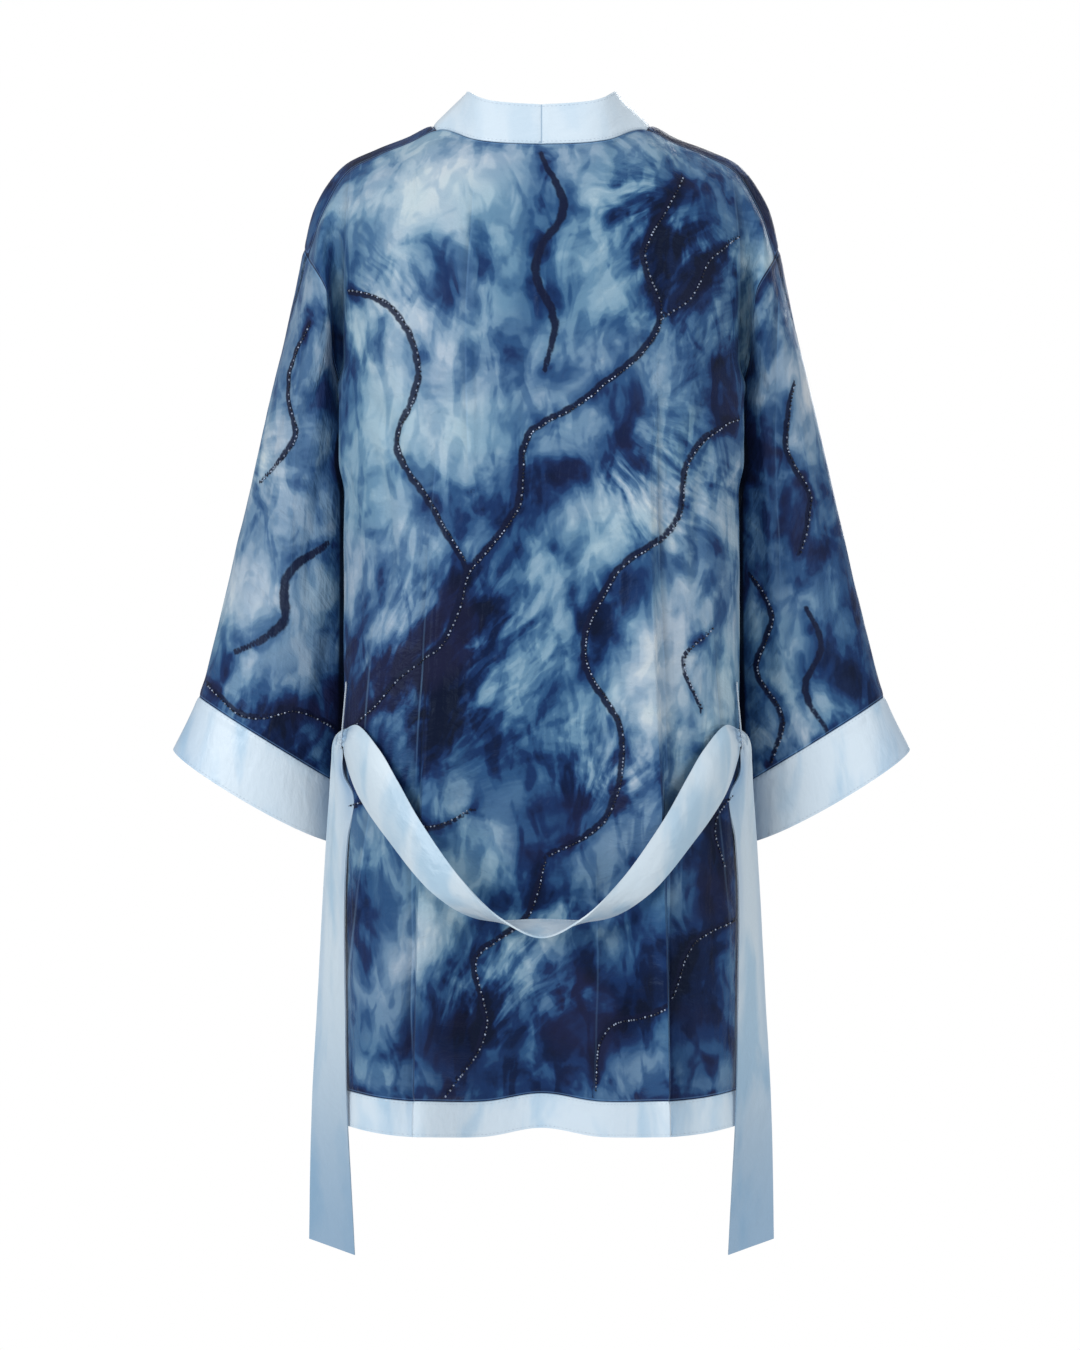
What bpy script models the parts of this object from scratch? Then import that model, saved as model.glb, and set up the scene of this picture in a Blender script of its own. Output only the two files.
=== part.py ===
"""A long kimono robe filled out as if worn, with its belt threaded through the two side loops.

The robe is seen from behind along +Y: its back faces -Y, its open front faces +Y and +Z is up. The origin is
at the level of the neck points, on the wearer's neck axis. Every cloth piece is a wall cut from one smooth
surface, which is lofted through sections. Tables are in millimetres and the model is in metres.
"""

import math
from collections import namedtuple

import bpy
import numpy as np

MM = 0.001

# Driving dimensions, in millimetres
WALL = 1.7
SEAM_GAP = 0.3
HEM = -896.0
HEM_BAND = 31.5
BELT_THICK = 1.6
LOOP_THREAD = 1.5

# The cut of a half panel: how far out from the centre each of its lines lies, to the armhole and side seam
NECK_POINT = 100.0
SIDE = 272.0
BACK_LINES = (0.0, 60.0, NECK_POINT, 125.0, 155.0, 192.0, 228.0, SIDE)
FRONT_LINES = BACK_LINES[2:]
TOP_HEIGHTS = (-22.8, -18.0, -4.0, -14.0, -24.5, -41.0, -74.0, -116.0)
HEM_LIFTS = (3.5, -2.3, -0.3, 0.5, 2.5, 5.5, 5.0, 4.0)
HEM_LIFT_FROM = 0.75
UNDERARM = 0.19

# A section is a row: its share of the way down to the hem, then for each line how far out and how far forward
Section = namedtuple("Section", "down out forward")
BACK_SECTIONS = (
    Section(0.000, (0, 58, 94, 117, 145, 175, 195, 210), (-75, -66, -28, -22, -19, -16, -14, -12)),
    Section(0.020, (0, 58, 96, 119, 147, 175, 195, 202), (-84, -77, -54, -46, -40, -33, -36, -38)),
    Section(0.045, (0, 58, 96, 120, 148, 174, 188, 192), (-91, -87, -72, -64, -56, -43, -36, -46)),
    Section(0.080, (0, 57, 95, 119, 147, 171, 179, 188), (-98, -95, -85, -78, -69, -52, -31, -38)),
    Section(0.130, (0, 55, 92, 115, 143, 168, 177, 185), (-106, -104, -97, -90, -78, -56, -26, -16)),
    Section(0.160, (0, 54, 90, 113, 141, 167, 176, 183), (-109, -108, -101, -95, -83, -58, -24, -2)),
    Section(UNDERARM, (0, 53, 89, 111, 139, 166, 175.5, 180), (-112, -111, -105, -99, -87, -60, -22, 15)),
    Section(0.215, (0, 53, 88, 109, 137, 165, 175.5, 173), (-114, -113, -108, -102, -90, -62, -24, 15)),
    Section(0.250, (0, 52, 86, 107, 134, 164, 175.5, 169), (-116, -115, -110, -104, -93, -65, -26, 15)),
    Section(0.320, (0, 51, 84, 104, 131, 162, 175.5, 168), (-118, -117, -113, -108, -97, -70, -28, 15)),
    Section(0.520, (0, 52, 86, 106, 133, 163, 176, 168), (-117, -117, -114, -109, -98, -71, -29, 15)),
    Section(0.760, (0, 53, 91, 112, 138, 165, 176, 168), (-96, -101, -104, -102, -92, -68, -28, 15)),
    Section(1.000, (0, 53, 94, 116, 141, 166, 176, 166), (-42, -62, -82, -84, -78, -58, -24, 15)),
)
FRONT_SECTIONS = (
    Section(0.000, BACK_SECTIONS[0].out[2:], BACK_SECTIONS[0].forward[2:]),
    Section(0.008, (97, 120, 148, 179, 201, 213.5), (-10, -6, -4, -3, -2, 0)),
    Section(0.022, (97, 120, 149, 180, 203, 213), (14, 14, 13, 12, 12, 16)),
    Section(0.045, (95, 119, 149, 178, 197, 201), (42, 42, 40, 36, 40, 50)),
    Section(0.080, (90, 116, 146, 171, 181, 190), (68, 70, 66, 56, 50, 56)),
    Section(0.130, (84, 110, 141, 166, 175, 186), (88, 89, 82, 65, 50, 44)),
    Section(0.160, (80, 107, 138, 163, 172, 184), (94, 95, 86, 67, 47, 32)),
    Section(UNDERARM, (76, 104, 136, 161, 170, 180), (100, 100, 90, 69, 45, 15)),
    Section(0.215, (73, 101, 134, 159, 166, 173), (104, 104, 93, 70, 45, 15)),
    Section(0.250, (69, 98, 131, 156, 163, 169), (108, 107, 95, 71, 45, 15)),
    Section(0.320, (63, 93, 127, 151, 160, 168), (114, 112, 98, 72, 46, 15)),
    Section(0.450, (57, 88, 124, 149, 159, 168), (119, 116, 101, 75, 47, 15)),
    Section(0.720, (57, 88, 124, 149, 159, 168), (120, 118, 103, 76, 47, 15)),
    Section(1.000, (60, 90, 125, 149, 158, 166), (114, 118, 106, 78, 47, 15)),
)
# How far each front section is raised, where the panel passes over the top of the shoulder
FRONT_LIFT = (0, 13, 19, 12) + (0,) * 10

# A hanging fold: its line on the cut, where it starts, its depth at the hem, its reach each way and its lean
Fold = namedtuple("Fold", "side across starts depth inner outer lean")
BACK_FOLDS = (
    Fold(-1, 112.0, 0.32, 30.0, 52.0, 10.0, 6.0),
    Fold(1, 112.0, 0.22, 30.0, 52.0, 10.0, 6.0),
)
FRONT_FOLDS = (
    Fold(-1, 155.0, 0.36, -13.0, 32.0, 26.0, 2.0),
    Fold(1, 155.0, 0.30, -12.0, 32.0, 26.0, 2.0),
)

# The mesh lines of the panels: across the cut, and shares of the way down
ACROSS = (0, 22, 44, 64, 80, 92, 100, 107, 112, 115, 118.5, 124, 134, 148, 164, 180, 192, 203, 216, 230, 244,
          258, 272)
ARMHOLE_DOWN = (0, 0.009, 0.022, 0.038, 0.058, 0.082, 0.11, 0.14, 0.168, UNDERARM)
UNDERARM_FLARE = 0.206
SKIRT_ROWS = 16

# The sleeve: its share of the way to the cuff seam, its outer and inner fold seen from behind, its middle
# and half depth forward, and how far its back wall hangs below a straight line
Ring = namedtuple("Ring", "share outer_out outer_height inner_out inner_height forward depth sag")
SLEEVE_RINGS = (
    Ring(0.00, 213, -114, 181, -246, 12, 50, 0),
    Ring(0.05, 217, -132, 183, -264, 15, 50, 0),
    Ring(0.15, 228.5, -172, 177, -302, 22, 49, 0),
    Ring(0.35, 248, -250, 173, -364, 30, 48, 0),
    Ring(0.60, 271, -350, 172, -450, 34, 46, 0),
    Ring(0.80, 290, -430, 172, -522, 37, 45, 0),
    Ring(1.00, 312, -510, 172, -596, 40, 45, 0),
    Ring(1.14, 335, -558, 172, -650, 42, 47, 8),
)
SLEEVE_SHARES = (0, 0.02, 0.05, 0.09, 0.14, 0.2, 0.27, 0.35, 0.43, 0.52, 0.61, 0.7, 0.8, 0.9, 1)
CUFF_ROWS = 2
ARMHOLE_BLEND = 0.34
CREASE_SUM = 0.8
CREASE_DOWN = 4.0

# The collar band, from the centre back to the hem: its reach from the seam, inward, forward and up
Reach = namedtuple("Reach", "at inward forward up")
NECK_REACH = (
    Reach(-44.0, -0.5, 13.0, 37.5),
    Reach(0.0, 0.0, 14.0, 36.5),
    Reach(44.0, 0.5, 13.0, 37.5),
    Reach(80.0, 12.0, 8.0, 37.3),
    Reach(NECK_POINT, 26.0, 2.0, 29.5),
)
EDGE_REACH = (
    Reach(0.0, 26.0, 2.0, 29.5),
    Reach(0.022, 31.0, 4.0, 24.0),
    Reach(0.045, 36.0, 7.0, 14.0),
    Reach(0.080, 38.0, 9.0, 8.0),
    Reach(0.190, 39.0, 5.0, 5.0),
    Reach(0.450, 40.0, 1.5, 1.0),
    Reach(1.000, 40.0, 1.0, 0.0),
)
COLLAR_CELLS = 3

# Half the belt, from the middle of its sag up to the loop and down to the tip: its near and its far edge, and
# how far its middle bows out between them
Edges = namedtuple("Edges", "at near_out near_forward near_height far_out far_forward far_height bow")
BELT = (
    Edges(0, 0, -143, -716.5, 0, -106, -703.5, 0),
    Edges(36, 34, -146, -701, 50, -114, -703, 0),
    Edges(82, 69, -149, -666, 93, -137, -679, 2),
    Edges(132, 104, -133, -618, 134, -108, -633, 5),
    Edges(180, 126, -114, -581, 157, -86, -602, 6),
    Edges(222, 142, -102, -555, 167, -73, -582, 7),
    Edges(262, 162, -81, -534.5, 173.5, -57, -562, 6),
    Edges(276, 167.5, -70.5, -535.5, 173.8, -57.5, -557.5, 3),
    Edges(290, 172, -59.5, -538, 174.5, -56, -554.5, 0),
    Edges(302, 177.5, -52.5, -540, 177.8, -52, -552.5, 0),
    Edges(314, 183.5, -46, -545.5, 181.5, -48.5, -556, 0),
    Edges(342, 187, -33, -570, 178, -54, -580, 0),
    Edges(360, 188, -32, -588, 170, -67, -595, 0),
    Edges(400, 191, -26, -627, 172.6, -60, -636, 0),
    Edges(480, 196, -22, -707, 174.5, -54, -716, 0),
    Edges(560, 200, -24, -787, 173.5, -54, -796, 0),
    Edges(640, 204, -32, -867, 172, -56, -876, 0),
    Edges(710, 206, -32, -937, 168.8, -47, -946, 0),
    Edges(766, 207, -30, -993, 166, -40, -1006, 0),
)
BELT_ROWS = 40
BELT_CELLS = 2
BOW_WAY = (0.55, -0.8, -0.25)

# A belt loop: a long ring of thread that hangs at the side seam round the belt, its top in to the seam
LOOP_TOP = -497.0
LOOP_BOTTOM = -555.0
LOOP_OUT = 177.5
LOOP_TOP_OUT = 172.85
LOOP_FORWARD = -52.3
LOOP_TOP_FORWARD = -56.0
LOOP_HALF_WIDTH = 3.6
LOOP_BEND = 6
LOOP_SIDES = 6


def spline(stations, values, at):
    """The smooth curve through the values at the rising stations, read at the places asked for."""
    stations = np.asarray(stations, float)
    values = np.asarray(values, float).reshape(len(stations), -1)
    at = np.clip(np.asarray(at, float).ravel(), stations[0], stations[-1])
    step = np.diff(stations)[:, None]
    slope = np.diff(values, axis=0) / step
    tangent = np.concatenate(
        [slope[:1], (slope[:-1] * step[1:] + slope[1:] * step[:-1]) / (step[:-1] + step[1:]), slope[-1:]]
    )
    i = np.clip(np.searchsorted(stations, at, side="right") - 1, 0, len(stations) - 2)
    t = (at - stations[i])[:, None] / step[i]
    return (
        (1 + 2 * t) * (1 - t) ** 2 * values[i]
        + t * (1 - t) ** 2 * step[i] * tangent[i]
        + t * t * (3 - 2 * t) * values[i + 1]
        - t * t * (1 - t) * step[i] * tangent[i + 1]
    )


def loft(lines, sections, across, down):
    """How far out and forward the surface lies, for each share of the way down and each place across."""
    stations = [section.down for section in sections]
    table = np.array([[section.out, section.forward] for section in sections], float)
    if lines[0] == 0:
        lines = (-lines[1], *lines)
        table = np.concatenate([table[:, :, 1:2] * [[-1], [1]], table], axis=2)
    rows = spline(stations, table.reshape(len(sections), -1), down).reshape(len(down), 2, len(lines))
    return np.stack([spline(lines, row.T, across) for row in rows])


def level(values, across):
    """A height for each place across, the same on both sides of the centre."""
    return spline((-BACK_LINES[1], *BACK_LINES), (values[1], *values), across)[:, 0]


def heights(across, down):
    """The rows follow the shoulder's slope at the top and the hem's soft waves at the bottom."""
    down = np.asarray(down, float)[:, None]
    lift = level(HEM_LIFTS, across) * smooth_step((down - HEM_LIFT_FROM) / (1 - HEM_LIFT_FROM))
    return HEM * down + level(TOP_HEIGHTS, across) * (1 - down) ** 2 + lift


def bump(distance, inner, outer):
    reach = np.where(distance < 0, inner, outer)
    return np.where(np.abs(distance) < reach, (1 + np.cos(np.pi * distance / reach)) / 2, 0)


def smooth_step(value):
    value = np.clip(value, 0, 1)
    return value * value * (3 - 2 * value)


def add_folds(grid, side, across, down, folds):
    """Pushes each hanging fold out of the surface, deeper towards the hem."""
    across = np.asarray(across, float)[None, :]
    down = np.asarray(down, float)[:, None]
    for fold in folds:
        if fold.side != side:
            continue
        share = smooth_step((down - fold.starts) / (1 - fold.starts)) ** 0.8
        push = share * bump(across - fold.across, fold.inner, fold.outer)
        grid[..., 0] += fold.lean * push
        grid[..., 1] -= fold.depth * push


def skirt_down():
    """The shares of the way down below the underarm, with a row on the hem band's seam."""
    seam = 1 - HEM_BAND / -HEM
    above = np.linspace(UNDERARM, seam, SKIRT_ROWS + 1)[1:]
    return [UNDERARM_FLARE, *above, (1 + seam) / 2, 1.0]


DOWN = list(ARMHOLE_DOWN) + skirt_down()
ARMHOLE_ROWS = len(ARMHOLE_DOWN)
HEM_SEAM_ROW = len(DOWN) - 3
NECK_COLUMNS = ACROSS.index(NECK_POINT) + 1


def half_back(side):
    """The back's half surface, out from the centre: rows down, columns across."""
    grid = np.zeros((len(DOWN), len(ACROSS), 3))
    grid[..., :2] = loft(BACK_LINES, BACK_SECTIONS, ACROSS, DOWN)
    add_folds(grid, side, ACROSS, DOWN, BACK_FOLDS)
    grid[..., 2] = heights(ACROSS, DOWN)
    grid[..., 0] *= side
    return grid


def half_front(side, back):
    """The front's surface, from its front edge out to the armhole and side seam, sewn to the back's points."""
    across = ACROSS[NECK_COLUMNS - 1:]
    grid = np.zeros((len(DOWN), len(across), 3))
    grid[..., :2] = loft(FRONT_LINES, FRONT_SECTIONS, across, DOWN)
    add_folds(grid, side, across, DOWN, FRONT_FOLDS)
    lift = spline([section.down for section in FRONT_SECTIONS], FRONT_LIFT, DOWN)
    grid[..., 2] = heights(across, DOWN) + lift
    grid[..., 0] *= side
    grid[0] = back[0, NECK_COLUMNS - 1:]
    grid[ARMHOLE_ROWS - 1:, -1] = back[ARMHOLE_ROWS - 1:, -1]
    return grid


def tube_ring(side, ring, turn):
    """A ring of the straight tube, at angles from its outer fold over the back to its inner fold."""
    along = (1 + np.cos(turn)) / 2
    out = side * (ring.inner_out + (ring.outer_out - ring.inner_out) * along)
    height = ring.inner_height + (ring.outer_height - ring.inner_height) * along
    height -= ring.sag * np.clip(np.sin(turn), 0, 1)
    return np.stack([out, ring.forward - ring.depth * np.sin(turn), height], axis=1)


def sleeve(side, back, front):
    """Rings from the armhole to the cuff's edge. Each starts at the top and passes the back first."""
    armhole = np.concatenate([back[:ARMHOLE_ROWS, -1], front[ARMHOLE_ROWS - 2:0:-1, -1]])
    steps = np.linalg.norm(np.diff(armhole, axis=0, append=armhole[:1]), axis=1)
    turn = 2 * np.pi * np.concatenate([[0], np.cumsum(steps)[:-1]]) / steps.sum()
    shares = list(SLEEVE_SHARES) + list(np.linspace(1, SLEEVE_RINGS[-1].share, CUFF_ROWS + 1))[1:]
    table = spline([ring.share for ring in SLEEVE_RINGS], [ring[1:] for ring in SLEEVE_RINGS], shares)
    start = tube_ring(side, SLEEVE_RINGS[0], turn)
    grid = []
    for share, values in zip(shares, table):
        keep = 1 - smooth_step(share / ARMHOLE_BLEND)
        grid.append(tube_ring(side, Ring(share, *values), turn) + (armhole - start) * keep)
    return np.array(grid)


def collar(side, back, front):
    """The band from the centre back round the neck and down the front edge, from its seam to its free edge."""
    seam = np.concatenate([back[0, :NECK_COLUMNS], front[1:, 0]])
    neck = spline([row.at for row in NECK_REACH], [row[1:] for row in NECK_REACH], ACROSS[:NECK_COLUMNS])
    edge = spline([row.at for row in EDGE_REACH], [row[1:] for row in EDGE_REACH], DOWN[1:])
    reach = np.concatenate([neck, edge])
    reach[:, 0] *= -side
    shares = np.linspace(0, 1, COLLAR_CELLS + 1)
    return seam[:, None, :] + shares[None, :, None] * reach[:, None, :]


def belt():
    """The whole belt, from one tip to the other: a strip between its near and its far edge."""
    mirrored = [
        Edges(-row.at, -row.near_out, *row[2:4], -row.far_out, *row[5:7], row.bow) for row in BELT[:0:-1]
    ]
    rows = mirrored + list(BELT)
    ends = len(BELT) - 1
    steps = np.linspace(-ends, ends, 2 * BELT_ROWS + 1)
    at = spline(range(-ends, ends + 1), [row.at for row in rows], steps)
    edges = spline([row.at for row in rows], [row[1:] for row in rows], at)
    near, far, bow = edges[:, None, :3], edges[:, None, 3:6], edges[:, None, 6:]
    shares = np.linspace(0, 1, BELT_CELLS + 1)[None, :, None]
    outward = np.sign(at)[:, :, None] * (BOW_WAY[0], 0, 0) + (0, *BOW_WAY[1:])
    return near * (1 - shares) + far * shares + 4 * shares * (1 - shares) * bow * outward


def point_normals(grids, rings):
    """The outward direction at each point, shared by all the pieces that meet there.

    Where the sleeve meets the body it is halfway between the two. They nearly turn back on each other at the
    underarm, and there it is made to point down, out of the crease.
    """
    total = {}
    keys = {}
    for name, grid in grids.items():
        keys[name] = [[tuple(np.round(point, 3)) for point in row] for row in grid]
        rows, columns = grid.shape[:2]
        for i in range(rows - 1):
            for j in range(columns if name in rings else columns - 1):
                k = (j + 1) % columns
                face = np.cross(grid[i + 1, k] - grid[i, j], grid[i, k] - grid[i + 1, j])
                for row, column in ((i, j), (i + 1, j), (i + 1, k), (i, k)):
                    sums = total.setdefault(keys[name][row][column], {})
                    sums[name in rings] = sums.get(name in rings, 0) + face
    normals = {}
    for key, sums in total.items():
        way = sum(face / np.linalg.norm(face) for face in sums.values())
        way = way - (0, 0, CREASE_DOWN * max(0, CREASE_SUM - np.linalg.norm(way)))
        normals[key] = way / np.linalg.norm(way)
    return {name: np.array([[normals[key] for key in row] for row in table]) for name, table in keys.items()}


def pull_in(grid, normals, edges, ring):
    """Draws the sewn edges back by half the seam's gap, square to the seam. A ring has its rows closed."""
    drawn = grid.copy()
    pairs = {
        "first_row": ((0, slice(None)), (1, slice(None))),
        "last_row": ((-1, slice(None)), (-2, slice(None))),
        "first_column": ((slice(None), 0), (slice(None), 1)),
        "last_column": ((slice(None), -1), (slice(None), -2)),
    }
    for edge in edges:
        at, beside = pairs[edge]
        line = grid[at]
        along = np.roll(line, -1, axis=0) - np.roll(line, 1, axis=0) if ring else np.gradient(line, axis=0)
        across = np.cross(along, normals[at])
        across *= np.sign((across * (grid[beside] - line)).sum(axis=1, keepdims=True))
        drawn[at] += across / np.linalg.norm(across, axis=1, keepdims=True) * SEAM_GAP / 2
    return drawn


def wall_mesh(name, grid, normals, thick, ring):
    """A closed wall with the grid in its middle: two faces, and a rim round each open edge.

    Each cell is split along its shorter diagonal, the same on both faces, and a rim from its higher end.
    """
    rows, columns = grid.shape[:2]
    middle = grid.reshape(-1, 3)
    outward = normals.reshape(-1, 3) * thick / 2
    shift = rows * columns
    faces = []

    def rim(a, b):
        if middle[a][2] < middle[b][2]:
            faces.extend([(a, b, b + shift), (a, b + shift, a + shift)])
        else:
            faces.extend([(a, b, a + shift), (b, b + shift, a + shift)])

    last = columns if ring else columns - 1
    for i in range(rows - 1):
        for j in range(last):
            k = (j + 1) % columns
            a, b, c, d = i * columns + j, (i + 1) * columns + j, (i + 1) * columns + k, i * columns + k
            if np.linalg.norm(middle[a] - middle[c]) <= np.linalg.norm(middle[b] - middle[d]):
                halves = ((a, b, c), (a, c, d))
            else:
                halves = ((a, b, d), (b, c, d))
            for half in halves:
                faces.append(half)
                faces.append(tuple(corner + shift for corner in half[::-1]))
    for j in range(last):
        k = (j + 1) % columns
        rim(j, k)
        rim((rows - 1) * columns + k, (rows - 1) * columns + j)
    for i in range(rows - 1) if not ring else ():
        rim((i + 1) * columns, i * columns)
        rim((i + 1) * columns - 1, (i + 2) * columns - 1)
    mesh = bpy.data.meshes.new(name)
    mesh.from_pydata(np.concatenate([middle + outward, middle - outward]) * MM, [], faces)
    mesh.shade_smooth()
    mesh.set_sharp_from_angle(angle=math.radians(50))
    return mesh


def ring_thread(name, side):
    """A closed thread along a long loop, round the belt and up to the side seam."""
    turn = np.linspace(0, np.pi, LOOP_BEND)
    bend, width = LOOP_HALF_WIDTH * np.sin(turn), LOOP_HALF_WIDTH * np.cos(turn)
    height = np.concatenate([LOOP_TOP - LOOP_HALF_WIDTH + bend, LOOP_BOTTOM + LOOP_HALF_WIDTH - bend])
    forward = np.concatenate([LOOP_TOP_FORWARD + width, LOOP_FORWARD + width[::-1]])
    count = len(height)
    path = np.stack([side * np.repeat((LOOP_TOP_OUT, LOOP_OUT), LOOP_BEND), forward, height], axis=1)
    tangent = np.roll(path, -1, axis=0) - np.roll(path, 1, axis=0)
    tangent /= np.linalg.norm(tangent, axis=1, keepdims=True)
    across = np.tile((1.0, 0.0, 0.0), (count, 1))
    square = np.cross(tangent, across)
    around = 2 * np.pi * np.arange(LOOP_SIDES)[None, :, None] / LOOP_SIDES
    offsets = across[:, None] * np.cos(around) + square[:, None] * np.sin(around)
    points = (path[:, None] + offsets * LOOP_THREAD / 2).reshape(-1, 3)
    faces = []
    for i in range(count):
        for j in range(LOOP_SIDES):
            k, m = (i + 1) % count, (j + 1) % LOOP_SIDES
            faces.append((i * LOOP_SIDES + m, k * LOOP_SIDES + m, k * LOOP_SIDES + j, i * LOOP_SIDES + j))
    mesh = bpy.data.meshes.new(name)
    mesh.from_pydata(points * MM, [], faces)
    mesh.shade_smooth()
    return mesh


def material(name, colour, roughness):
    made = bpy.data.materials.new(name)
    made.use_nodes = True
    shader = made.node_tree.nodes["Principled BSDF"]
    shader.inputs["Base Color"].default_value = (*colour, 1)
    shader.inputs["Roughness"].default_value = roughness
    shader.inputs["Metallic"].default_value = 0
    return made


def place(name, mesh, finish):
    mesh.materials.append(finish)
    thing = bpy.data.objects.new(name, mesh)
    bpy.context.scene.collection.objects.link(thing)
    return thing


def robe_grids():
    """The middle surface of every sewn piece, the pieces that are closed rings, and each piece's sewn edges."""
    grids, sewn, rings = {}, {}, set()
    halves = {side: half_back(side) for side in (-1, 1)}
    whole = np.concatenate([halves[-1][:, :0:-1], halves[1]], axis=1)
    grids["back"] = whole[: HEM_SEAM_ROW + 1]
    grids["hem_band_back"] = whole[HEM_SEAM_ROW:]
    sewn["back"] = ("first_row", "last_row", "first_column", "last_column")
    sewn["hem_band_back"] = ("first_row", "first_column", "last_column")
    for side, word in ((-1, "left"), (1, "right")):
        front = half_front(side, halves[side])
        tube = sleeve(side, halves[side], front)
        band = collar(side, halves[side], front)
        # On the right the columns run the other way, so that every face looks outward
        front = front if side < 0 else front[:, ::-1]
        grids[f"front_{word}"] = front[: HEM_SEAM_ROW + 1]
        grids[f"hem_band_front_{word}"] = front[HEM_SEAM_ROW:]
        tube = tube if side < 0 else tube[:, ::-1]
        grids[f"sleeve_{word}"] = tube[: len(SLEEVE_SHARES)]
        grids[f"cuff_{word}"] = tube[len(SLEEVE_SHARES) - 1:]
        rings |= {f"sleeve_{word}", f"cuff_{word}"}
        grids[f"collar_{word}"] = band if side > 0 else band[:, ::-1]
        sewn[f"front_{word}"] = ("first_row", "last_row", "first_column", "last_column")
        sewn[f"hem_band_front_{word}"] = ("first_row", "first_column", "last_column")
        sewn[f"sleeve_{word}"] = ("first_row", "last_row")
        sewn[f"cuff_{word}"] = ("first_row",)
        sewn[f"collar_{word}"] = ("first_row", "first_column" if side > 0 else "last_column")
    return grids, rings, sewn


def build():
    for old in list(bpy.data.objects):
        bpy.data.objects.remove(old)
    silk = material("dyed_silk", (0.05, 0.08, 0.22), 0.45)
    satin = material("light_satin", (0.55, 0.68, 0.80), 0.32)
    thread = material("loop_thread", (0.50, 0.62, 0.75), 0.6)
    grids, rings, sewn = robe_grids()
    normals = point_normals(grids, rings)
    for name, grid in grids.items():
        cloth = silk if name.split("_")[0] in ("back", "front", "sleeve") else satin
        middle = pull_in(grid, normals[name], sewn[name], name in rings)
        mesh = wall_mesh(name, middle, normals[name], WALL, name in rings)
        place(name, mesh, cloth)
    strip = {"belt": belt()}
    place("belt", wall_mesh("belt", strip["belt"], point_normals(strip, ())["belt"], BELT_THICK, False), satin)
    for side, word in ((-1, "left"), (1, "right")):
        place(f"belt_loop_{word}", ring_thread(f"belt_loop_{word}", side), thread)


build()
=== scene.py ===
"""The looks of a kimono robe: dyed silk, satin bands and belt, drawn veins with beads, sewing and creases.

The cloth pieces repeat the smooth surfaces of the CAD solids on finer grids, so each lies on its solid. Tables
are in millimetres and the scene is in metres. The robe's back faces -Y and +Z is up.
"""

import math
from collections import namedtuple

import bpy
import numpy as np
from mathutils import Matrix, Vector
from mathutils.bvhtree import BVHTree
from mathutils.kdtree import KDTree


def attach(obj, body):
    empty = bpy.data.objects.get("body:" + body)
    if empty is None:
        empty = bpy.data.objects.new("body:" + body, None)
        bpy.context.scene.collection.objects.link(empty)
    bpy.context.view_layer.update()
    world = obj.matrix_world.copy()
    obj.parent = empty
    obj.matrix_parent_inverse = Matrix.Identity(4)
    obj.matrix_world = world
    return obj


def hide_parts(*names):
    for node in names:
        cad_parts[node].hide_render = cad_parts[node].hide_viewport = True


MM = 0.001
SEED = 41

# The sizes that the scene shares with the CAD part
HEM = -896.0
HEM_BAND = 31.5
NECK_POINT = 100.0
SIDE = 272.0
BACK_LINES = (0.0, 60.0, NECK_POINT, 125.0, 155.0, 192.0, 228.0, SIDE)
FRONT_LINES = BACK_LINES[2:]
TOP_HEIGHTS = (-22.8, -18.0, -4.0, -14.0, -24.5, -41.0, -74.0, -116.0)
HEM_LIFTS = (3.5, -2.3, -0.3, 0.5, 2.5, 5.5, 5.0, 4.0)
HEM_LIFT_FROM = 0.75
UNDERARM = 0.19

# A section is a row: its share of the way down to the hem, then for each line how far out and how far forward
Section = namedtuple("Section", "down out forward")
BACK_SECTIONS = tuple(Section(*row) for row in (
    (0.000, (0, 58, 94, 117, 145, 175, 195, 210), (-75, -66, -28, -22, -19, -16, -14, -12)),
    (0.020, (0, 58, 96, 119, 147, 175, 195, 202), (-84, -77, -54, -46, -40, -33, -36, -38)),
    (0.045, (0, 58, 96, 120, 148, 174, 188, 192), (-91, -87, -72, -64, -56, -43, -36, -46)),
    (0.080, (0, 57, 95, 119, 147, 171, 179, 188), (-98, -95, -85, -78, -69, -52, -31, -38)),
    (0.130, (0, 55, 92, 115, 143, 168, 177, 185), (-106, -104, -97, -90, -78, -56, -26, -16)),
    (0.160, (0, 54, 90, 113, 141, 167, 176, 183), (-109, -108, -101, -95, -83, -58, -24, -2)),
    (UNDERARM, (0, 53, 89, 111, 139, 166, 175.5, 180), (-112, -111, -105, -99, -87, -60, -22, 15)),
    (0.215, (0, 53, 88, 109, 137, 165, 175.5, 173), (-114, -113, -108, -102, -90, -62, -24, 15)),
    (0.250, (0, 52, 86, 107, 134, 164, 175.5, 169), (-116, -115, -110, -104, -93, -65, -26, 15)),
    (0.320, (0, 51, 84, 104, 131, 162, 175.5, 168), (-118, -117, -113, -108, -97, -70, -28, 15)),
    (0.520, (0, 52, 86, 106, 133, 163, 176, 168), (-117, -117, -114, -109, -98, -71, -29, 15)),
    (0.760, (0, 53, 91, 112, 138, 165, 176, 168), (-96, -101, -104, -102, -92, -68, -28, 15)),
    (1.000, (0, 53, 94, 116, 141, 166, 176, 166), (-42, -62, -82, -84, -78, -58, -24, 15)),
))
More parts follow.
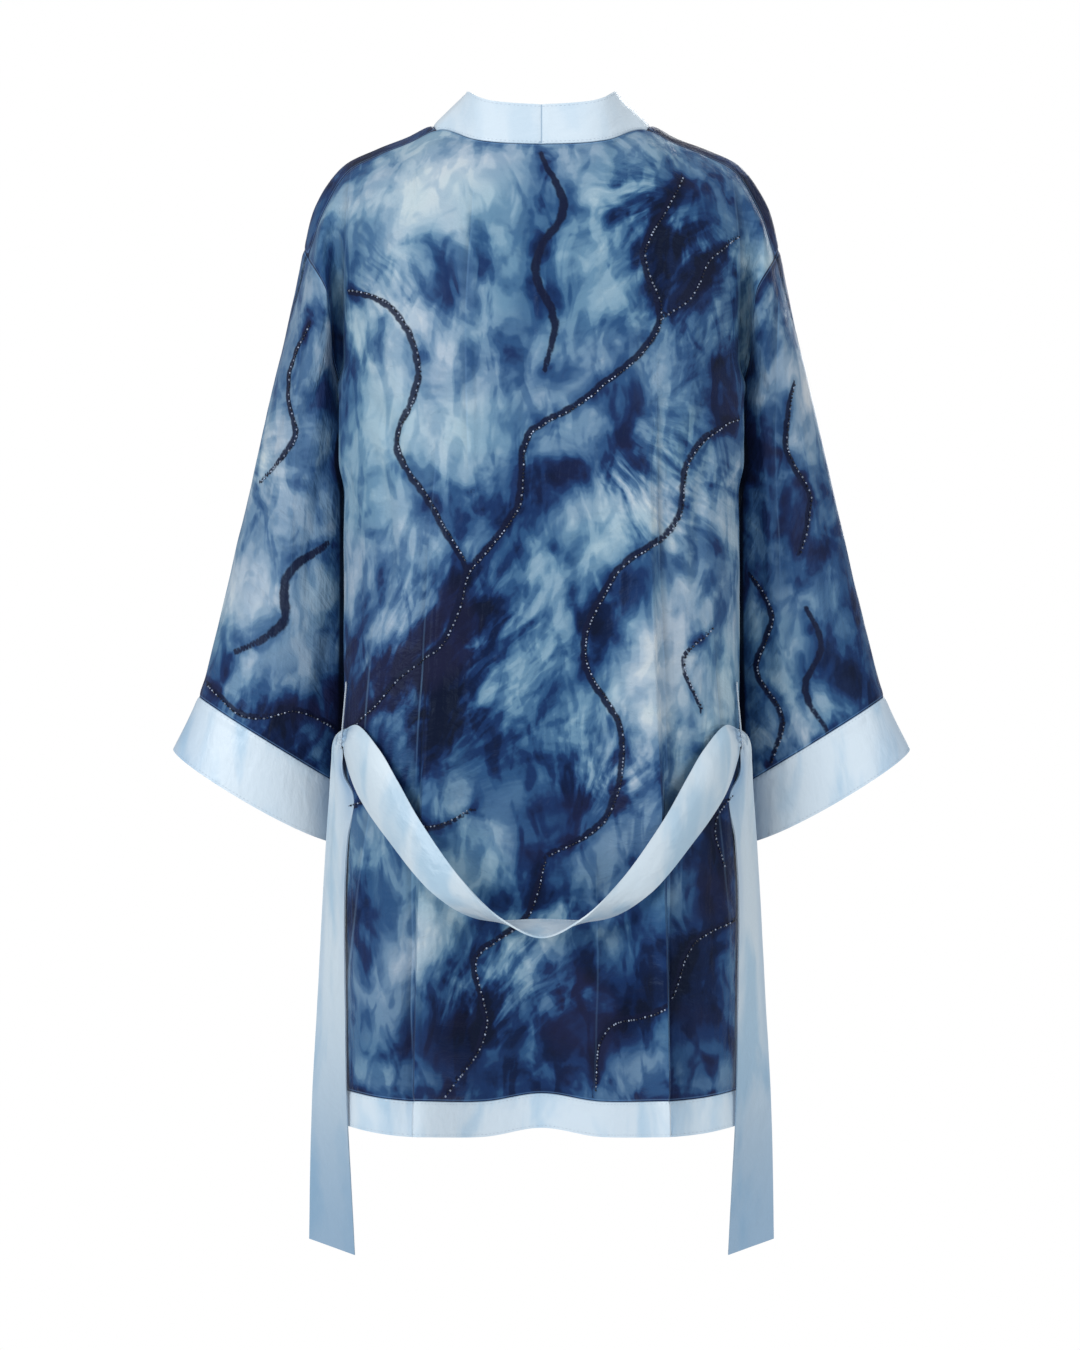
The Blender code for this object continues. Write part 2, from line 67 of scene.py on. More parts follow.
FRONT_SECTIONS = tuple(Section(*row) for row in (
    (0.000, BACK_SECTIONS[0].out[2:], BACK_SECTIONS[0].forward[2:]),
    (0.008, (97, 120, 148, 179, 201, 213.5), (-10, -6, -4, -3, -2, 0)),
    (0.022, (97, 120, 149, 180, 203, 213), (14, 14, 13, 12, 12, 16)),
    (0.045, (95, 119, 149, 178, 197, 201), (42, 42, 40, 36, 40, 50)),
    (0.080, (90, 116, 146, 171, 181, 190), (68, 70, 66, 56, 50, 56)),
    (0.130, (84, 110, 141, 166, 175, 186), (88, 89, 82, 65, 50, 44)),
    (0.160, (80, 107, 138, 163, 172, 184), (94, 95, 86, 67, 47, 32)),
    (UNDERARM, (76, 104, 136, 161, 170, 180), (100, 100, 90, 69, 45, 15)),
    (0.215, (73, 101, 134, 159, 166, 173), (104, 104, 93, 70, 45, 15)),
    (0.250, (69, 98, 131, 156, 163, 169), (108, 107, 95, 71, 45, 15)),
    (0.320, (63, 93, 127, 151, 160, 168), (114, 112, 98, 72, 46, 15)),
    (0.450, (57, 88, 124, 149, 159, 168), (119, 116, 101, 75, 47, 15)),
    (0.720, (57, 88, 124, 149, 159, 168), (120, 118, 103, 76, 47, 15)),
    (1.000, (60, 90, 125, 149, 158, 166), (114, 118, 106, 78, 47, 15)),
))
FRONT_LIFT = (0, 13, 19, 12) + (0,) * 10

# A hanging fold: its line on the cut, where it starts, its depth at the hem, its reach each way and its lean
Fold = namedtuple("Fold", "side across starts depth inner outer lean")
BACK_FOLDS = (
    Fold(-1, 112.0, 0.32, 30.0, 52.0, 10.0, 6.0),
    Fold(1, 112.0, 0.22, 30.0, 52.0, 10.0, 6.0),
)
FRONT_FOLDS = (
    Fold(-1, 155.0, 0.36, -13.0, 32.0, 26.0, 2.0),
    Fold(1, 155.0, 0.30, -12.0, 32.0, 26.0, 2.0),
)

# How a fold grows towards the hem, and how far its cloth is drawn up for each millimetre that it stands out
FOLD_GROWTH = 0.8
HEM_EASE = 0.13

# The sleeve: its share of the way to the cuff seam, its outer and inner fold seen from behind, its middle
# and half depth forward, and how far its back wall hangs below a straight line
Ring = namedtuple("Ring", "share outer_out outer_height inner_out inner_height forward depth sag")
SLEEVE_RINGS = tuple(Ring(*row) for row in (
    (0.00, 213, -114, 181, -246, 12, 50, 0),
    (0.05, 217, -132, 183, -264, 15, 50, 0),
    (0.15, 228.5, -172, 177, -302, 22, 49, 0),
    (0.35, 248, -250, 173, -364, 30, 48, 0),
    (0.60, 271, -350, 172, -450, 34, 46, 0),
    (0.80, 290, -430, 172, -522, 37, 45, 0),
    (1.00, 312, -510, 172, -596, 40, 45, 0),
    (1.14, 335, -558, 172, -650, 42, 47, 8),
))
# How far the cuff's edge rises at its inner fold for each millimetre that its back wall sags, and how suddenly
CORNER_RISE = 0.85
CORNER_SHARP = 6
ARMHOLE_BLEND = 0.34
CREASE_SUM = 0.8
CREASE_DOWN = 4.0

# The collar band, from the centre back to the hem: its reach from the seam, inward, forward and up
Reach = namedtuple("Reach", "at inward forward up")
NECK_REACH = (
    Reach(-44.0, -0.5, 13.0, 37.5),
    Reach(0.0, 0.0, 14.0, 36.5),
    Reach(44.0, 0.5, 13.0, 37.5),
    Reach(80.0, 12.0, 8.0, 37.3),
    Reach(NECK_POINT, 26.0, 2.0, 29.5),
)
EDGE_REACH = (
    Reach(0.0, 26.0, 2.0, 29.5),
    Reach(0.022, 31.0, 4.0, 24.0),
    Reach(0.045, 36.0, 7.0, 14.0),
    Reach(0.080, 38.0, 9.0, 8.0),
    Reach(0.190, 39.0, 5.0, 5.0),
    Reach(0.450, 40.0, 1.5, 1.0),
    Reach(1.000, 40.0, 1.0, 0.0),
)

# Half the belt, from the middle of its sag up to the loop and down to the tip: its near and its far edge, and
# how far its middle bows out between them
Edges = namedtuple("Edges", "at near_out near_forward near_height far_out far_forward far_height bow")
BELT = tuple(Edges(*row) for row in (
    (0, 0, -143, -716.5, 0, -106, -703.5, 0),
    (36, 34, -146, -701, 50, -114, -703, 0),
    (82, 69, -149, -666, 93, -137, -679, 2),
    (132, 104, -133, -618, 134, -108, -633, 5),
    (180, 126, -114, -581, 157, -86, -602, 6),
    (222, 142, -102, -555, 167, -73, -582, 7),
    (262, 162, -81, -534.5, 173.5, -57, -562, 6),
    (276, 167.5, -70.5, -535.5, 173.8, -57.5, -557.5, 3),
    (290, 172, -59.5, -538, 174.5, -56, -554.5, 0),
    (302, 177.5, -52.5, -540, 177.8, -52, -552.5, 0),
    (314, 183.5, -46, -545.5, 181.5, -48.5, -556, 0),
    (342, 187, -33, -570, 178, -54, -580, 0),
    (360, 188, -32, -588, 170, -67, -595, 0),
    (400, 191, -26, -627, 172.6, -60, -636, 0),
    (480, 196, -22, -707, 174.5, -54, -716, 0),
    (560, 200, -24, -787, 173.5, -54, -796, 0),
    (640, 204, -32, -867, 172, -56, -876, 0),
    (710, 206, -32, -937, 168.8, -47, -946, 0),
    (766, 207, -30, -993, 166, -40, -1006, 0),
))
BOW_WAY = (0.55, -0.8, -0.25)
BELT_WIDTH = 40.0

LOOP_TOP = -497.0
LOOP_BOTTOM = -555.0
LOOP_OUT = 177.5
LOOP_TOP_OUT = 172.85
LOOP_FORWARD = -52.3
LOOP_TOP_FORWARD = -56.0
LOOP_HALF_WIDTH = 3.6

# How fine the cloth is, and how thick
CLOTH_STEP = 3.5
BAND_STEP = 3.0
SILK_THICK = 0.8
BAND_THICK = 1.5
SEAM_TUCK = 1.1


def spline(stations, values, at):
    """The smooth curve through the values at the rising stations, read at the places asked for."""
    stations = np.asarray(stations, float)
    values = np.asarray(values, float).reshape(len(stations), -1)
    at = np.clip(np.asarray(at, float).ravel(), stations[0], stations[-1])
    step = np.diff(stations)[:, None]
    slope = np.diff(values, axis=0) / step
    tangent = np.concatenate(
        [slope[:1], (slope[:-1] * step[1:] + slope[1:] * step[:-1]) / (step[:-1] + step[1:]), slope[-1:]]
    )
    i = np.clip(np.searchsorted(stations, at, side="right") - 1, 0, len(stations) - 2)
    t = (at - stations[i])[:, None] / step[i]
    return (
        (1 + 2 * t) * (1 - t) ** 2 * values[i]
        + t * (1 - t) ** 2 * step[i] * tangent[i]
        + t * t * (3 - 2 * t) * values[i + 1]
        - t * t * (1 - t) * step[i] * tangent[i + 1]
    )


def loft(lines, sections, across, down):
    """How far out and forward the surface lies, for each share of the way down and each place across."""
    stations = [section.down for section in sections]
    table = np.array([[section.out, section.forward] for section in sections], float)
    if lines[0] == 0:
        lines = (-lines[1], *lines)
        table = np.concatenate([table[:, :, 1:2] * [[-1], [1]], table], axis=2)
    rows = spline(stations, table.reshape(len(sections), -1), down).reshape(len(down), 2, len(lines))
    return np.stack([spline(lines, row.T, across) for row in rows])


def level(values, across):
    """A height for each place across, the same on both sides of the centre."""
    return spline((-BACK_LINES[1], *BACK_LINES), (values[1], *values), across)[:, 0]


def heights(across, down):
    """The rows follow the shoulder's slope at the top and the hem's soft waves at the bottom."""
    down = np.asarray(down, float)[:, None]
    lift = level(HEM_LIFTS, across) * smooth_step((down - HEM_LIFT_FROM) / (1 - HEM_LIFT_FROM))
    return HEM * down + level(TOP_HEIGHTS, across) * (1 - down) ** 2 + lift


def bump(distance, inner, outer):
    """A round hump of height 1 at distance 0, which ends at its inner and outer reach."""
    reach = np.where(distance < 0, inner, outer)
    return np.where(np.abs(distance) < reach, (1 + np.cos(np.pi * distance / reach)) / 2, 0)


def smooth_step(value):
    """From 0 at 0 to 1 at 1, level at both ends."""
    value = np.clip(value, 0, 1)
    return value * value * (3 - 2 * value)


def unit(ways):
    """The same directions at length one."""
    return ways / np.linalg.norm(ways, axis=-1, keepdims=True)


def path_run(path):
    """How far along the path each of its points lies."""
    return np.concatenate([[0], np.cumsum(np.linalg.norm(np.diff(path, axis=0), axis=1))])


def read_along(values, run, at):
    """The values, which stand at the distances in run, read at the distances asked for."""
    return np.stack([np.interp(at, run, values[:, axis]) for axis in range(3)], axis=1)


def add_folds(grid, side, across, down, folds):
    """Pushes each hanging fold out of the surface, deeper towards the hem."""
    across = np.asarray(across, float)[None, :]
    down = np.asarray(down, float)[:, None]
    for fold in folds:
        if fold.side != side:
            continue
        share = smooth_step((down - fold.starts) / (1 - fold.starts)) ** FOLD_GROWTH
        push = share * bump(across - fold.across, fold.inner, fold.outer)
        grid[..., 0] += fold.lean * push
        grid[..., 1] -= fold.depth * push
        grid[..., 2] += HEM_EASE * fold.depth * push


def evenly(stops, step):
    """The stops with equal steps between them, none longer than the step."""
    values = [stops[0]]
    for low, high in zip(stops, stops[1:]):
        count = max(1, math.ceil((high - low) / step))
        values += list(np.linspace(low, high, count + 1)[1:])
    return np.array(values)


HEM_SEAM = 1 - HEM_BAND / -HEM
ACROSS = evenly((0.0, NECK_POINT, 112.0, 118.5, SIDE), CLOTH_STEP)
DOWN = evenly((0.0, 0.022, UNDERARM, HEM_SEAM, 1.0), CLOTH_STEP / -HEM)
NECK_COLUMNS = int(np.argmin(abs(ACROSS - NECK_POINT))) + 1
ARMHOLE_ROWS = int(np.argmin(abs(DOWN - UNDERARM))) + 1
HEM_SEAM_ROW = int(np.argmin(abs(DOWN - HEM_SEAM)))
SLEEVE_LENGTH = 430.0
CUFF_SHARES = evenly((1.0, SLEEVE_RINGS[-1].share), BAND_STEP / SLEEVE_LENGTH)[1:]
SLEEVE_SHARES = evenly((0.0, 1.0), CLOTH_STEP / SLEEVE_LENGTH)


def half_panel(side, across, lines, sections, folds, lift=0):
    """Half a panel's surface: rows down, columns across."""
    grid = np.zeros((len(DOWN), len(across), 3))
    grid[..., :2] = loft(lines, sections, across, DOWN)
    grid[..., 2] = heights(across, DOWN) + lift
    add_folds(grid, side, across, DOWN, folds)
    grid[..., 0] *= side
    return grid


def half_front(side, back):
    """The front's surface, from its front edge out to the armhole and side seam, sewn to the back's points."""
    lift = spline([section.down for section in FRONT_SECTIONS], FRONT_LIFT, DOWN)
    grid = half_panel(side, ACROSS[NECK_COLUMNS - 1:], FRONT_LINES, FRONT_SECTIONS, FRONT_FOLDS, lift)
    grid[0] = back[0, NECK_COLUMNS - 1:]
    grid[ARMHOLE_ROWS - 1:, -1] = back[ARMHOLE_ROWS - 1:, -1]
    return grid


def tube_ring(side, ring, turn):
    """A ring of the straight tube, at angles from its outer fold over the back to its inner fold."""
    along = (1 + np.cos(turn)) / 2
    out = side * (ring.inner_out + (ring.outer_out - ring.inner_out) * along)
    height = ring.inner_height + (ring.outer_height - ring.inner_height) * along
    height += ring.sag * (CORNER_RISE * (1 - along) ** CORNER_SHARP - np.clip(np.sin(turn), 0, 1))
    return np.stack([out, ring.forward - ring.depth * np.sin(turn), height], axis=1)


def sleeve(side, back, front):
    """Rings from the armhole to the cuff's edge. Each starts at the top and passes the back first."""
    armhole = np.concatenate([back[:ARMHOLE_ROWS, -1], front[ARMHOLE_ROWS - 2:0:-1, -1]])
    steps = np.linalg.norm(np.diff(armhole, axis=0, append=armhole[:1]), axis=1)
    turn = 2 * np.pi * np.concatenate([[0], np.cumsum(steps)[:-1]]) / steps.sum()
    shares = np.concatenate([SLEEVE_SHARES, CUFF_SHARES])
    table = spline([ring.share for ring in SLEEVE_RINGS], [ring[1:] for ring in SLEEVE_RINGS], shares)
    start = tube_ring(side, SLEEVE_RINGS[0], turn)
    grid = []
    for share, values in zip(shares, table):
        keep = 1 - smooth_step(share / ARMHOLE_BLEND)
        grid.append(tube_ring(side, Ring(share, *values), turn) + (armhole - start) * keep)
    return np.array(grid)


def collar(side, back, front):
    """The band from the centre back round the neck and down the front edge, from its seam to its free edge."""
    seam = np.concatenate([back[0, :NECK_COLUMNS], front[1:, 0]])
    neck = spline([row.at for row in NECK_REACH], [row[1:] for row in NECK_REACH], ACROSS[:NECK_COLUMNS])
    edge = spline([row.at for row in EDGE_REACH], [row[1:] for row in EDGE_REACH], DOWN[1:])
    reach = np.concatenate([neck, edge])
    reach[:, 0] *= -side
    shares = np.linspace(0, 1, math.ceil(BELT_WIDTH / BAND_STEP) + 1)
    return seam[:, None, :] + shares[None, :, None] * reach[:, None, :]


def belt_surface():
    """The whole belt's plain surface, from one tip to the other, and each row's place along it."""
    mirrored = [
        Edges(-row.at, -row.near_out, *row[2:4], -row.far_out, *row[5:7], row.bow) for row in BELT[:0:-1]
    ]
    rows = mirrored + list(BELT)
    stations = [row.at for row in rows]
    at = evenly((stations[0], 0.0, stations[-1]), BAND_STEP)
    edges = spline(stations, [row[1:] for row in rows], at)
    near, far, bow = edges[:, None, :3], edges[:, None, 3:6], edges[:, None, 6:]
    shares = np.linspace(0, 1, math.ceil(BELT_WIDTH / BAND_STEP) + 1)[None, :, None]
    outward = np.sign(at)[:, None, None] * (BOW_WAY[0], 0, 0) + (0, *BOW_WAY[1:])
    return near * (1 - shares) + far * shares + 4 * shares * (1 - shares) * bow * outward, at


def robe_surfaces():
    """The middle surface of every sewn piece, in the pieces' own names, and which are closed rings."""
    grids, rings = {}, set()
    halves = {side: half_panel(side, ACROSS, BACK_LINES, BACK_SECTIONS, BACK_FOLDS) for side in (-1, 1)}
    whole = np.concatenate([halves[-1][:, :0:-1], halves[1]], axis=1)
    grids["back"] = whole[: HEM_SEAM_ROW + 1]
    grids["hem_band_back"] = whole[HEM_SEAM_ROW:]
    for side, word in ((-1, "left"), (1, "right")):
        front = half_front(side, halves[side])
        tube = sleeve(side, halves[side], front)
        band = collar(side, halves[side], front)
        # On the right the columns run the other way, so that every face looks outward
        front = front if side < 0 else front[:, ::-1]
        grids[f"front_{word}"] = front[: HEM_SEAM_ROW + 1]
        grids[f"hem_band_front_{word}"] = front[HEM_SEAM_ROW:]
        tube = tube if side < 0 else tube[:, ::-1]
        grids[f"sleeve_{word}"] = tube[: len(SLEEVE_SHARES)]
        grids[f"cuff_{word}"] = tube[len(SLEEVE_SHARES) - 1:]
        rings |= {f"sleeve_{word}", f"cuff_{word}"}
        grids[f"collar_{word}"] = band if side > 0 else band[:, ::-1]
    return grids, rings


def row_sums(grid, ring):
    """Each point's outward direction, summed over the faces round it."""
    closed = np.concatenate([grid, grid[:, :1]], axis=1) if ring else grid
    face = np.cross(closed[1:, 1:] - closed[:-1, :-1], closed[:-1, 1:] - closed[1:, :-1])
    sums = np.zeros(closed.shape)
    for rows in (slice(None, -1), slice(1, None)):
        for columns in (slice(None, -1), slice(1, None)):
            sums[rows, columns] += face
    if ring:
        sums[:, 0] += sums[:, -1]
        sums = sums[:, :-1]
    return sums


def all_points(grids):
    """The points of all pieces in one list."""
    return np.concatenate([grid.reshape(-1, 3) for grid in grids.values()])


def shared_points(grids):
    """Which shared point each point is, and how many points share it."""
    _, key, count = np.unique(np.round(all_points(grids), 3), axis=0, return_inverse=True, return_counts=True)
    return key.ravel(), count


def gather(grids, key):
    """The sum of what falls on each shared point."""
    values = all_points(grids)
    return np.stack([np.bincount(key, values[:, axis]) for axis in range(3)], axis=1)


def give_back(values, key, grids):
    """The shared points' values as grids, one for each piece."""
    stops = np.cumsum([grid.shape[0] * grid.shape[1] for grid in grids.values()])
    parts = np.split(values[key], stops[:-1])
    return {name: part.reshape(grids[name].shape) for name, part in zip(grids, parts)}


def shared_normals(grids, rings):
    """Outward directions that meeting pieces share. In the underarm's crease they are made to point down."""
    key, count = shared_points(grids)
    way = np.zeros((len(count), 3))
    for in_ring in (False, True):
        sums = {name: row_sums(grid, name in rings) * ((name in rings) == in_ring) for name, grid in grids.items()}
        total = gather(sums, key)
        way += total / np.maximum(np.linalg.norm(total, axis=1, keepdims=True), 1e-9)
    way[:, 2] -= CREASE_DOWN * np.maximum(0, CREASE_SUM - np.linalg.norm(way, axis=1))
    return give_back(unit(way), key, grids)


HASH_PRIMES = (73856093, 19349663, 83492791, 2654435761, 1274126177)


def lattice(cells, salt):
    """A repeatable random value from 0 to 1 for each whole-numbered cell."""
    mixed = salt * HASH_PRIMES[3]
    for axis in range(3):
        mixed = cells[..., axis] * HASH_PRIMES[axis] ^ mixed
    mixed = (mixed ^ (mixed >> 13)) * HASH_PRIMES[4] & 0xFFFFFFFF
    mixed = (mixed ^ (mixed >> 16)) & 0xFFFFFF
    return mixed / 0xFFFFFF


def noise(points, size, salt, octaves=1):
    """Smooth noise from -1 to 1 in space, with finer octaves at half the size and half the strength."""
    value, strength, total = 0.0, 1.0, 0.0
    for octave in range(octaves):
        place = points / size * 2 ** octave + 0.37 * octave
        cell = np.floor(place).astype(np.int64)
        part = smooth_step(place - cell)
        mean = 0.0
        for corner in np.ndindex(2, 2, 2):
            weight = np.prod(np.where(corner, part, 1 - part), axis=-1)
            mean = mean + weight * lattice(cell + corner, salt + octave)
        value = value + strength * (2 * mean - 1)
        total += strength
        strength /= 2
    return value / total


# A crease, as seen from behind (side -1) or from the front (side 1): its ends, how far its middle bows
# to its left, its half width, and its depth, negative for a ridge
Crease = namedtuple("Crease", "side x1 z1 x2 z2 bow width depth")
CREASES = tuple(Crease(*row) for row in (
    (-1, -176, -206, -177, -330, 0, 11, -7.0), (-1, 176, -206, 177, -330, 0, 11, -7.0),
    (-1, -183, -122, -181, -236, 0, 6, 4.0), (-1, 183, -122, 181, -236, 0, 6, 4.0),
    (-1, -162, -236, -116, -330, 8, 9, 2.6), (-1, -158, -262, -134, -420, 10, 8, 2.4),
    (-1, -170, -300, -160, -520, 4, 7, 2.0), (-1, 162, -236, 122, -318, -8, 9, 2.6),
    (-1, 158, -262, 138, -430, -10, 8, 2.4), (-1, 172, -330, 156, -540, -4, 7, 2.0),
    (-1, -95, -190, -100, -470, 5, 10, 1.5), (-1, 95, -120, 99, -380, -5, 10, 1.5),
    (-1, -150, -112, 120, -100, 6, 7, 0.9), (-1, -128, -166, 60, -158, -5, 6, 0.8),
    (-1, -40, -250, 150, -262, 4, 7, 0.8), (-1, -120, -60, -60, -200, 6, 9, 1.2),
    (-1, 70, -50, 120, -190, -6, 9, 1.3), (-1, -10, -60, -22, -300, 5, 8, 0.8),
    (-1, 36, -330, 28, -640, -4, 9, 1.1), (-1, -44, -430, -50, -700, 4, 9, 1.1),
    (-1, -166, -540, -128, -660, -9, 8, 2.2), (-1, -160, -570, -150, -800, 6, 9, 2.4),
    (-1, 164, -544, 130, -650, 9, 8, 2.2), (-1, 160, -580, 156, -790, -6, 9, 2.2),
    (-1, -16, -760, -24, -862, 3, 12, 1.4), (-1, 40, -740, 46, -862, -3, 12, 1.4),
    (-1, -80, -560, 20, -600, 5, 8, 0.8), (-1, 10, -520, 120, -470, -6, 8, 0.8),
    (-1, -60, -770, 84, -790, -5, 9, 0.7), (-1, -186, -210, -226, -330, -9, 9, 3.0),
    (-1, -180, -262, -210, -440, -8, 8, 2.6), (-1, -214, -190, -262, -400, -6, 10, 2.0),
    (-1, -190, -420, -214, -560, 5, 9, 1.8), (-1, -232, -360, -276, -500, -5, 10, 1.6),
    (-1, -222, -300, -190, -345, 4, 7, 1.1), (-1, 186, -210, 214, -300, 7, 9, 3.0),
    (-1, 206, -150, 212, -440, 5, 7, 3.2), (-1, 182, -268, 196, -470, 6, 8, 2.4),
    (-1, 232, -210, 262, -430, 5, 10, 1.8), (-1, 200, -430, 226, -570, -5, 9, 1.6),
    (-1, 246, -380, 284, -510, 5, 10, 1.4), (1, -150, -180, -110, -420, 8, 10, 2.2),
    (1, 150, -180, 112, -400, -8, 10, 2.2), (1, -176, -250, -130, -360, 7, 8, 2.4),
    (1, 176, -250, 132, -350, -7, 8, 2.4), (1, -90, -300, -96, -640, 5, 11, 1.6),
    (1, 92, -340, 88, -680, -5, 11, 1.6), (1, -140, -520, -130, -800, 6, 10, 2.0),
    (1, 140, -500, 134, -790, -6, 10, 2.0), (1, -110, -60, -140, -160, 6, 8, 1.4),
    (1, 110, -60, 140, -160, -6, 8, 1.4), (1, -200, -200, -236, -400, -8, 10, 2.6),
    (1, 200, -200, 236, -400, 8, 10, 2.6), (1, -190, -380, -214, -560, 6, 9, 2.0),
    (1, 190, -380, 214, -560, -6, 9, 2.0), (1, -246, -330, -280, -500, -5, 10, 1.6),
    (1, 246, -330, 280, -500, 5, 10, 1.6),
))


CREASE_NEAR = 40.0
CREASE_POINTS = 9
RIDGE = 0.55
SIDE_ON = 0.35


def line_distance(places, path):
    """How far each place (x, z) is from a path of points, and how far along the path its nearest point is."""
    best = np.full(len(places), np.inf)
    share = np.zeros(len(places))
    for i, (start, stop) in enumerate(zip(path, path[1:])):
        way = stop - start
        along = np.clip(((places - start) @ way) / (way @ way), 0, 1)
        gap = np.linalg.norm(places - start - along[:, None] * way, axis=1)
        nearer = gap < best
        best[nearer] = gap[nearer]
        share[nearer] = (i + along[nearer]) / (len(path) - 1)
    return best, share


def close_to(places, path, reach):
    """Which places lie in the box round the path, grown by the reach."""
    return np.all((places > path.min(axis=0) - reach) & (places < path.max(axis=0) + reach), axis=1)


def facing(normals, side):
    """How far each point is seen from behind (side -1) or from the front (side 1), from 0 to 1."""
    return smooth_step((SIDE_ON + side * normals[:, 1]) / (2 * SIDE_ON))


def crease_depth(points, normals):
    """How far the creases press each point in, with a soft ridge along both sides of each trough."""
    depth = np.zeros(len(points))
    places = points[:, [0, 2]]
    for crease in CREASES:
        start, stop = np.array([crease.x1, crease.z1]), np.array([crease.x2, crease.z2])
        way = (stop - start) / np.linalg.norm(stop - start)
        shares = np.linspace(0, 1, CREASE_POINTS)[:, None]
        sideways = np.array([-way[1], way[0]]) * crease.bow
        path = start + shares * (stop - start) + 4 * shares * (1 - shares) * sideways
        near = np.flatnonzero(close_to(places, path, CREASE_NEAR))
        if len(near) == 0:
            continue
        gap, along = line_distance(places[near], path)
        q = (gap / crease.width) ** 2
        ends = smooth_step(along * 4) * smooth_step((1 - along) * 4)
        seen = facing(normals[near], crease.side)
        depth[near] += crease.depth * (1 - RIDGE * q) * np.exp(-q) * ends * seen
    return depth


# Each silk piece is cut from another place of the dyed cloth: how far its patches move, and its noise, in metres
CutFrom = namedtuple("CutFrom", "patches noise")
SILK_NODES = {
    "back": CutFrom((0, 0), (0, 0, 0)),
    "front_left": CutFrom((0, 30), (0.7, 0, 0)),
    "front_right": CutFrom((0, -30), (1.3, 0, 0)),
    "sleeve_left": CutFrom((24, 52), (0, 0.9, 0)),
    "sleeve_right": CutFrom((-20, 46), (0, 1.7, 0)),
}

# The rows and columns that a seam presses in, and the share of its depth
ALL = slice(None)
FIRST_ROW = ((0, ALL, 1.0), (1, ALL, 0.25))
LAST_ROW = ((-1, ALL, 1.0), (-2, ALL, 0.25))
FIRST_COLUMN = ((ALL, 0, 1.0), (ALL, 1, 0.25))
LAST_COLUMN = ((ALL, -1, 1.0), (ALL, -2, 0.25))
NO_SEAM = 99.0

SHOULDER_DEPTH = 0.24
SHOULDER_STRIP = 34.0


def shoulder_depth(grid):
    """How much darker the front's strip that shows from behind, beyond the shoulder seam, is made."""
    return SHOULDER_DEPTH * (1 - smooth_step((runs(grid)[0] - SHOULDER_STRIP) / SHOULDER_STRIP))


# Where a sleeve goes behind the body's side, deep shade is painted on it: the height, and how far out that reaches
RECESS_TOP = -256
RECESS = (
    (-620, 184.0), (-560, 184.5), (-420, 182.0), (-328, 181.5), (-303, 186.0), (-286, 185.5), (RECESS_TOP, 180.0),
)


def recess_gap(points):
    """How far each of a sleeve's points lies from the painted deep shade beside the body, below 0 within it."""
    reach = np.interp(points[:, 2], *zip(*RECESS))
    return np.abs(points[:, 0]) - reach + np.maximum(points[:, 2] - RECESS_TOP, 0) / 2


# A fine fold line, as seen from behind or from the front, with a painted shadow on one side and a painted highlight
# along it: its course from the top down, and its strength, which is negative where the painted shadow lies to its
# left
FoldLine = namedtuple("FoldLine", "side strength course")
FOLD_LINES = tuple(FoldLine(*row) for row in (
    (-1, -0.9, ((-92, -310), (-104, -480), (-112, -640), (-112, -862))),
    (-1, 0.9, ((98, -200), (104, -420), (111, -640), (112, -862))),
    (-1, -1.0, ((-170, -40), (-175, -120), (-177, -262))),
    (-1, 1.0, ((170, -46), (175, -120), (177, -262))),
    (-1, -0.9, ((-144, -560), (-152, -620), (-164, -700), (-172, -770))),
    (-1, 0.6, ((150, -560), (160, -650), (170, -760))),
    (-1, -0.7, ((212, -130), (210, -280), (214, -430))),
    (-1, 0.4, ((-214, -170), (-222, -300), (-226, -420))),
    (-1, -0.35, ((-60, -60), (-66, -200), (-62, -330))),
    (-1, -0.8, ((-146, -440), (-152, -500), (-156, -556))),
    (-1, 0.7, ((150, -450), (154, -505), (158, -556))),
    (-1, 0.35, ((46, -640), (50, -740), (46, -862))),
    (1, 0.7, ((-112, -260), (-118, -520), (-124, -862))),
    (1, -0.7, ((112, -240), (120, -500), (122, -862))),
    (1, 0.5, ((-228, -180), (-236, -330), (-232, -470))),
    (1, -0.5, ((228, -180), (238, -330), (232, -480))),
))
FOLD_REACH = 9.0
FOLD_WAVE = 2.2
FOLD_ENDS = 20.0


def fold_lines(points, normals):
    """The distance to the nearest fold line, above 0 on its painted shadow's side, and how strong the line is
    there.
    """
    result = np.zeros((len(points), 3))
    for line in FOLD_LINES:
        course = np.array(line.course[::-1], float)
        spot = points * (0, 0, 1) + (0, line.course[0][0], 0)
        wave = FOLD_WAVE * noise(spot, 60.0, SEED + 30, 2)
        off = points[:, 0] - spline(course[:, 1], course[:, 0], points[:, 2])[:, 0] - wave
        bottom = smooth_step((points[:, 2] - course[0, 1] + FOLD_ENDS) / (3 * FOLD_ENDS))
        top = smooth_step((course[-1, 1] + FOLD_ENDS - points[:, 2]) / (3 * FOLD_ENDS))
        near = np.abs(off) < FOLD_REACH
        window = smooth_step((1 - np.abs(off) / FOLD_REACH) * 3)
        uneven = 0.6 + 0.6 * noise(spot, 46.0, SEED + 31)
        strength = line.strength * bottom * top * window * uneven * facing(normals, line.side)
        chosen = near & (np.abs(strength) > result[:, 1])
        result[chosen, 0] = off[chosen] * np.sign(line.strength)
        result[chosen, 1] = np.abs(strength[chosen])
    return result


def sewn_edges(name):
    """Which edges of a piece are sewn to another."""
    ends = FIRST_COLUMN + LAST_COLUMN
    if name == "back" or name.startswith("front"):
        return FIRST_ROW + LAST_ROW + ends
    if name.startswith("sleeve"):
        return FIRST_ROW + LAST_ROW
    if name.startswith("cuff"):
        return FIRST_ROW
    if name.startswith("hem"):
        return FIRST_ROW + ends
    return FIRST_ROW + (FIRST_COLUMN if name.endswith("right") else LAST_COLUMN)


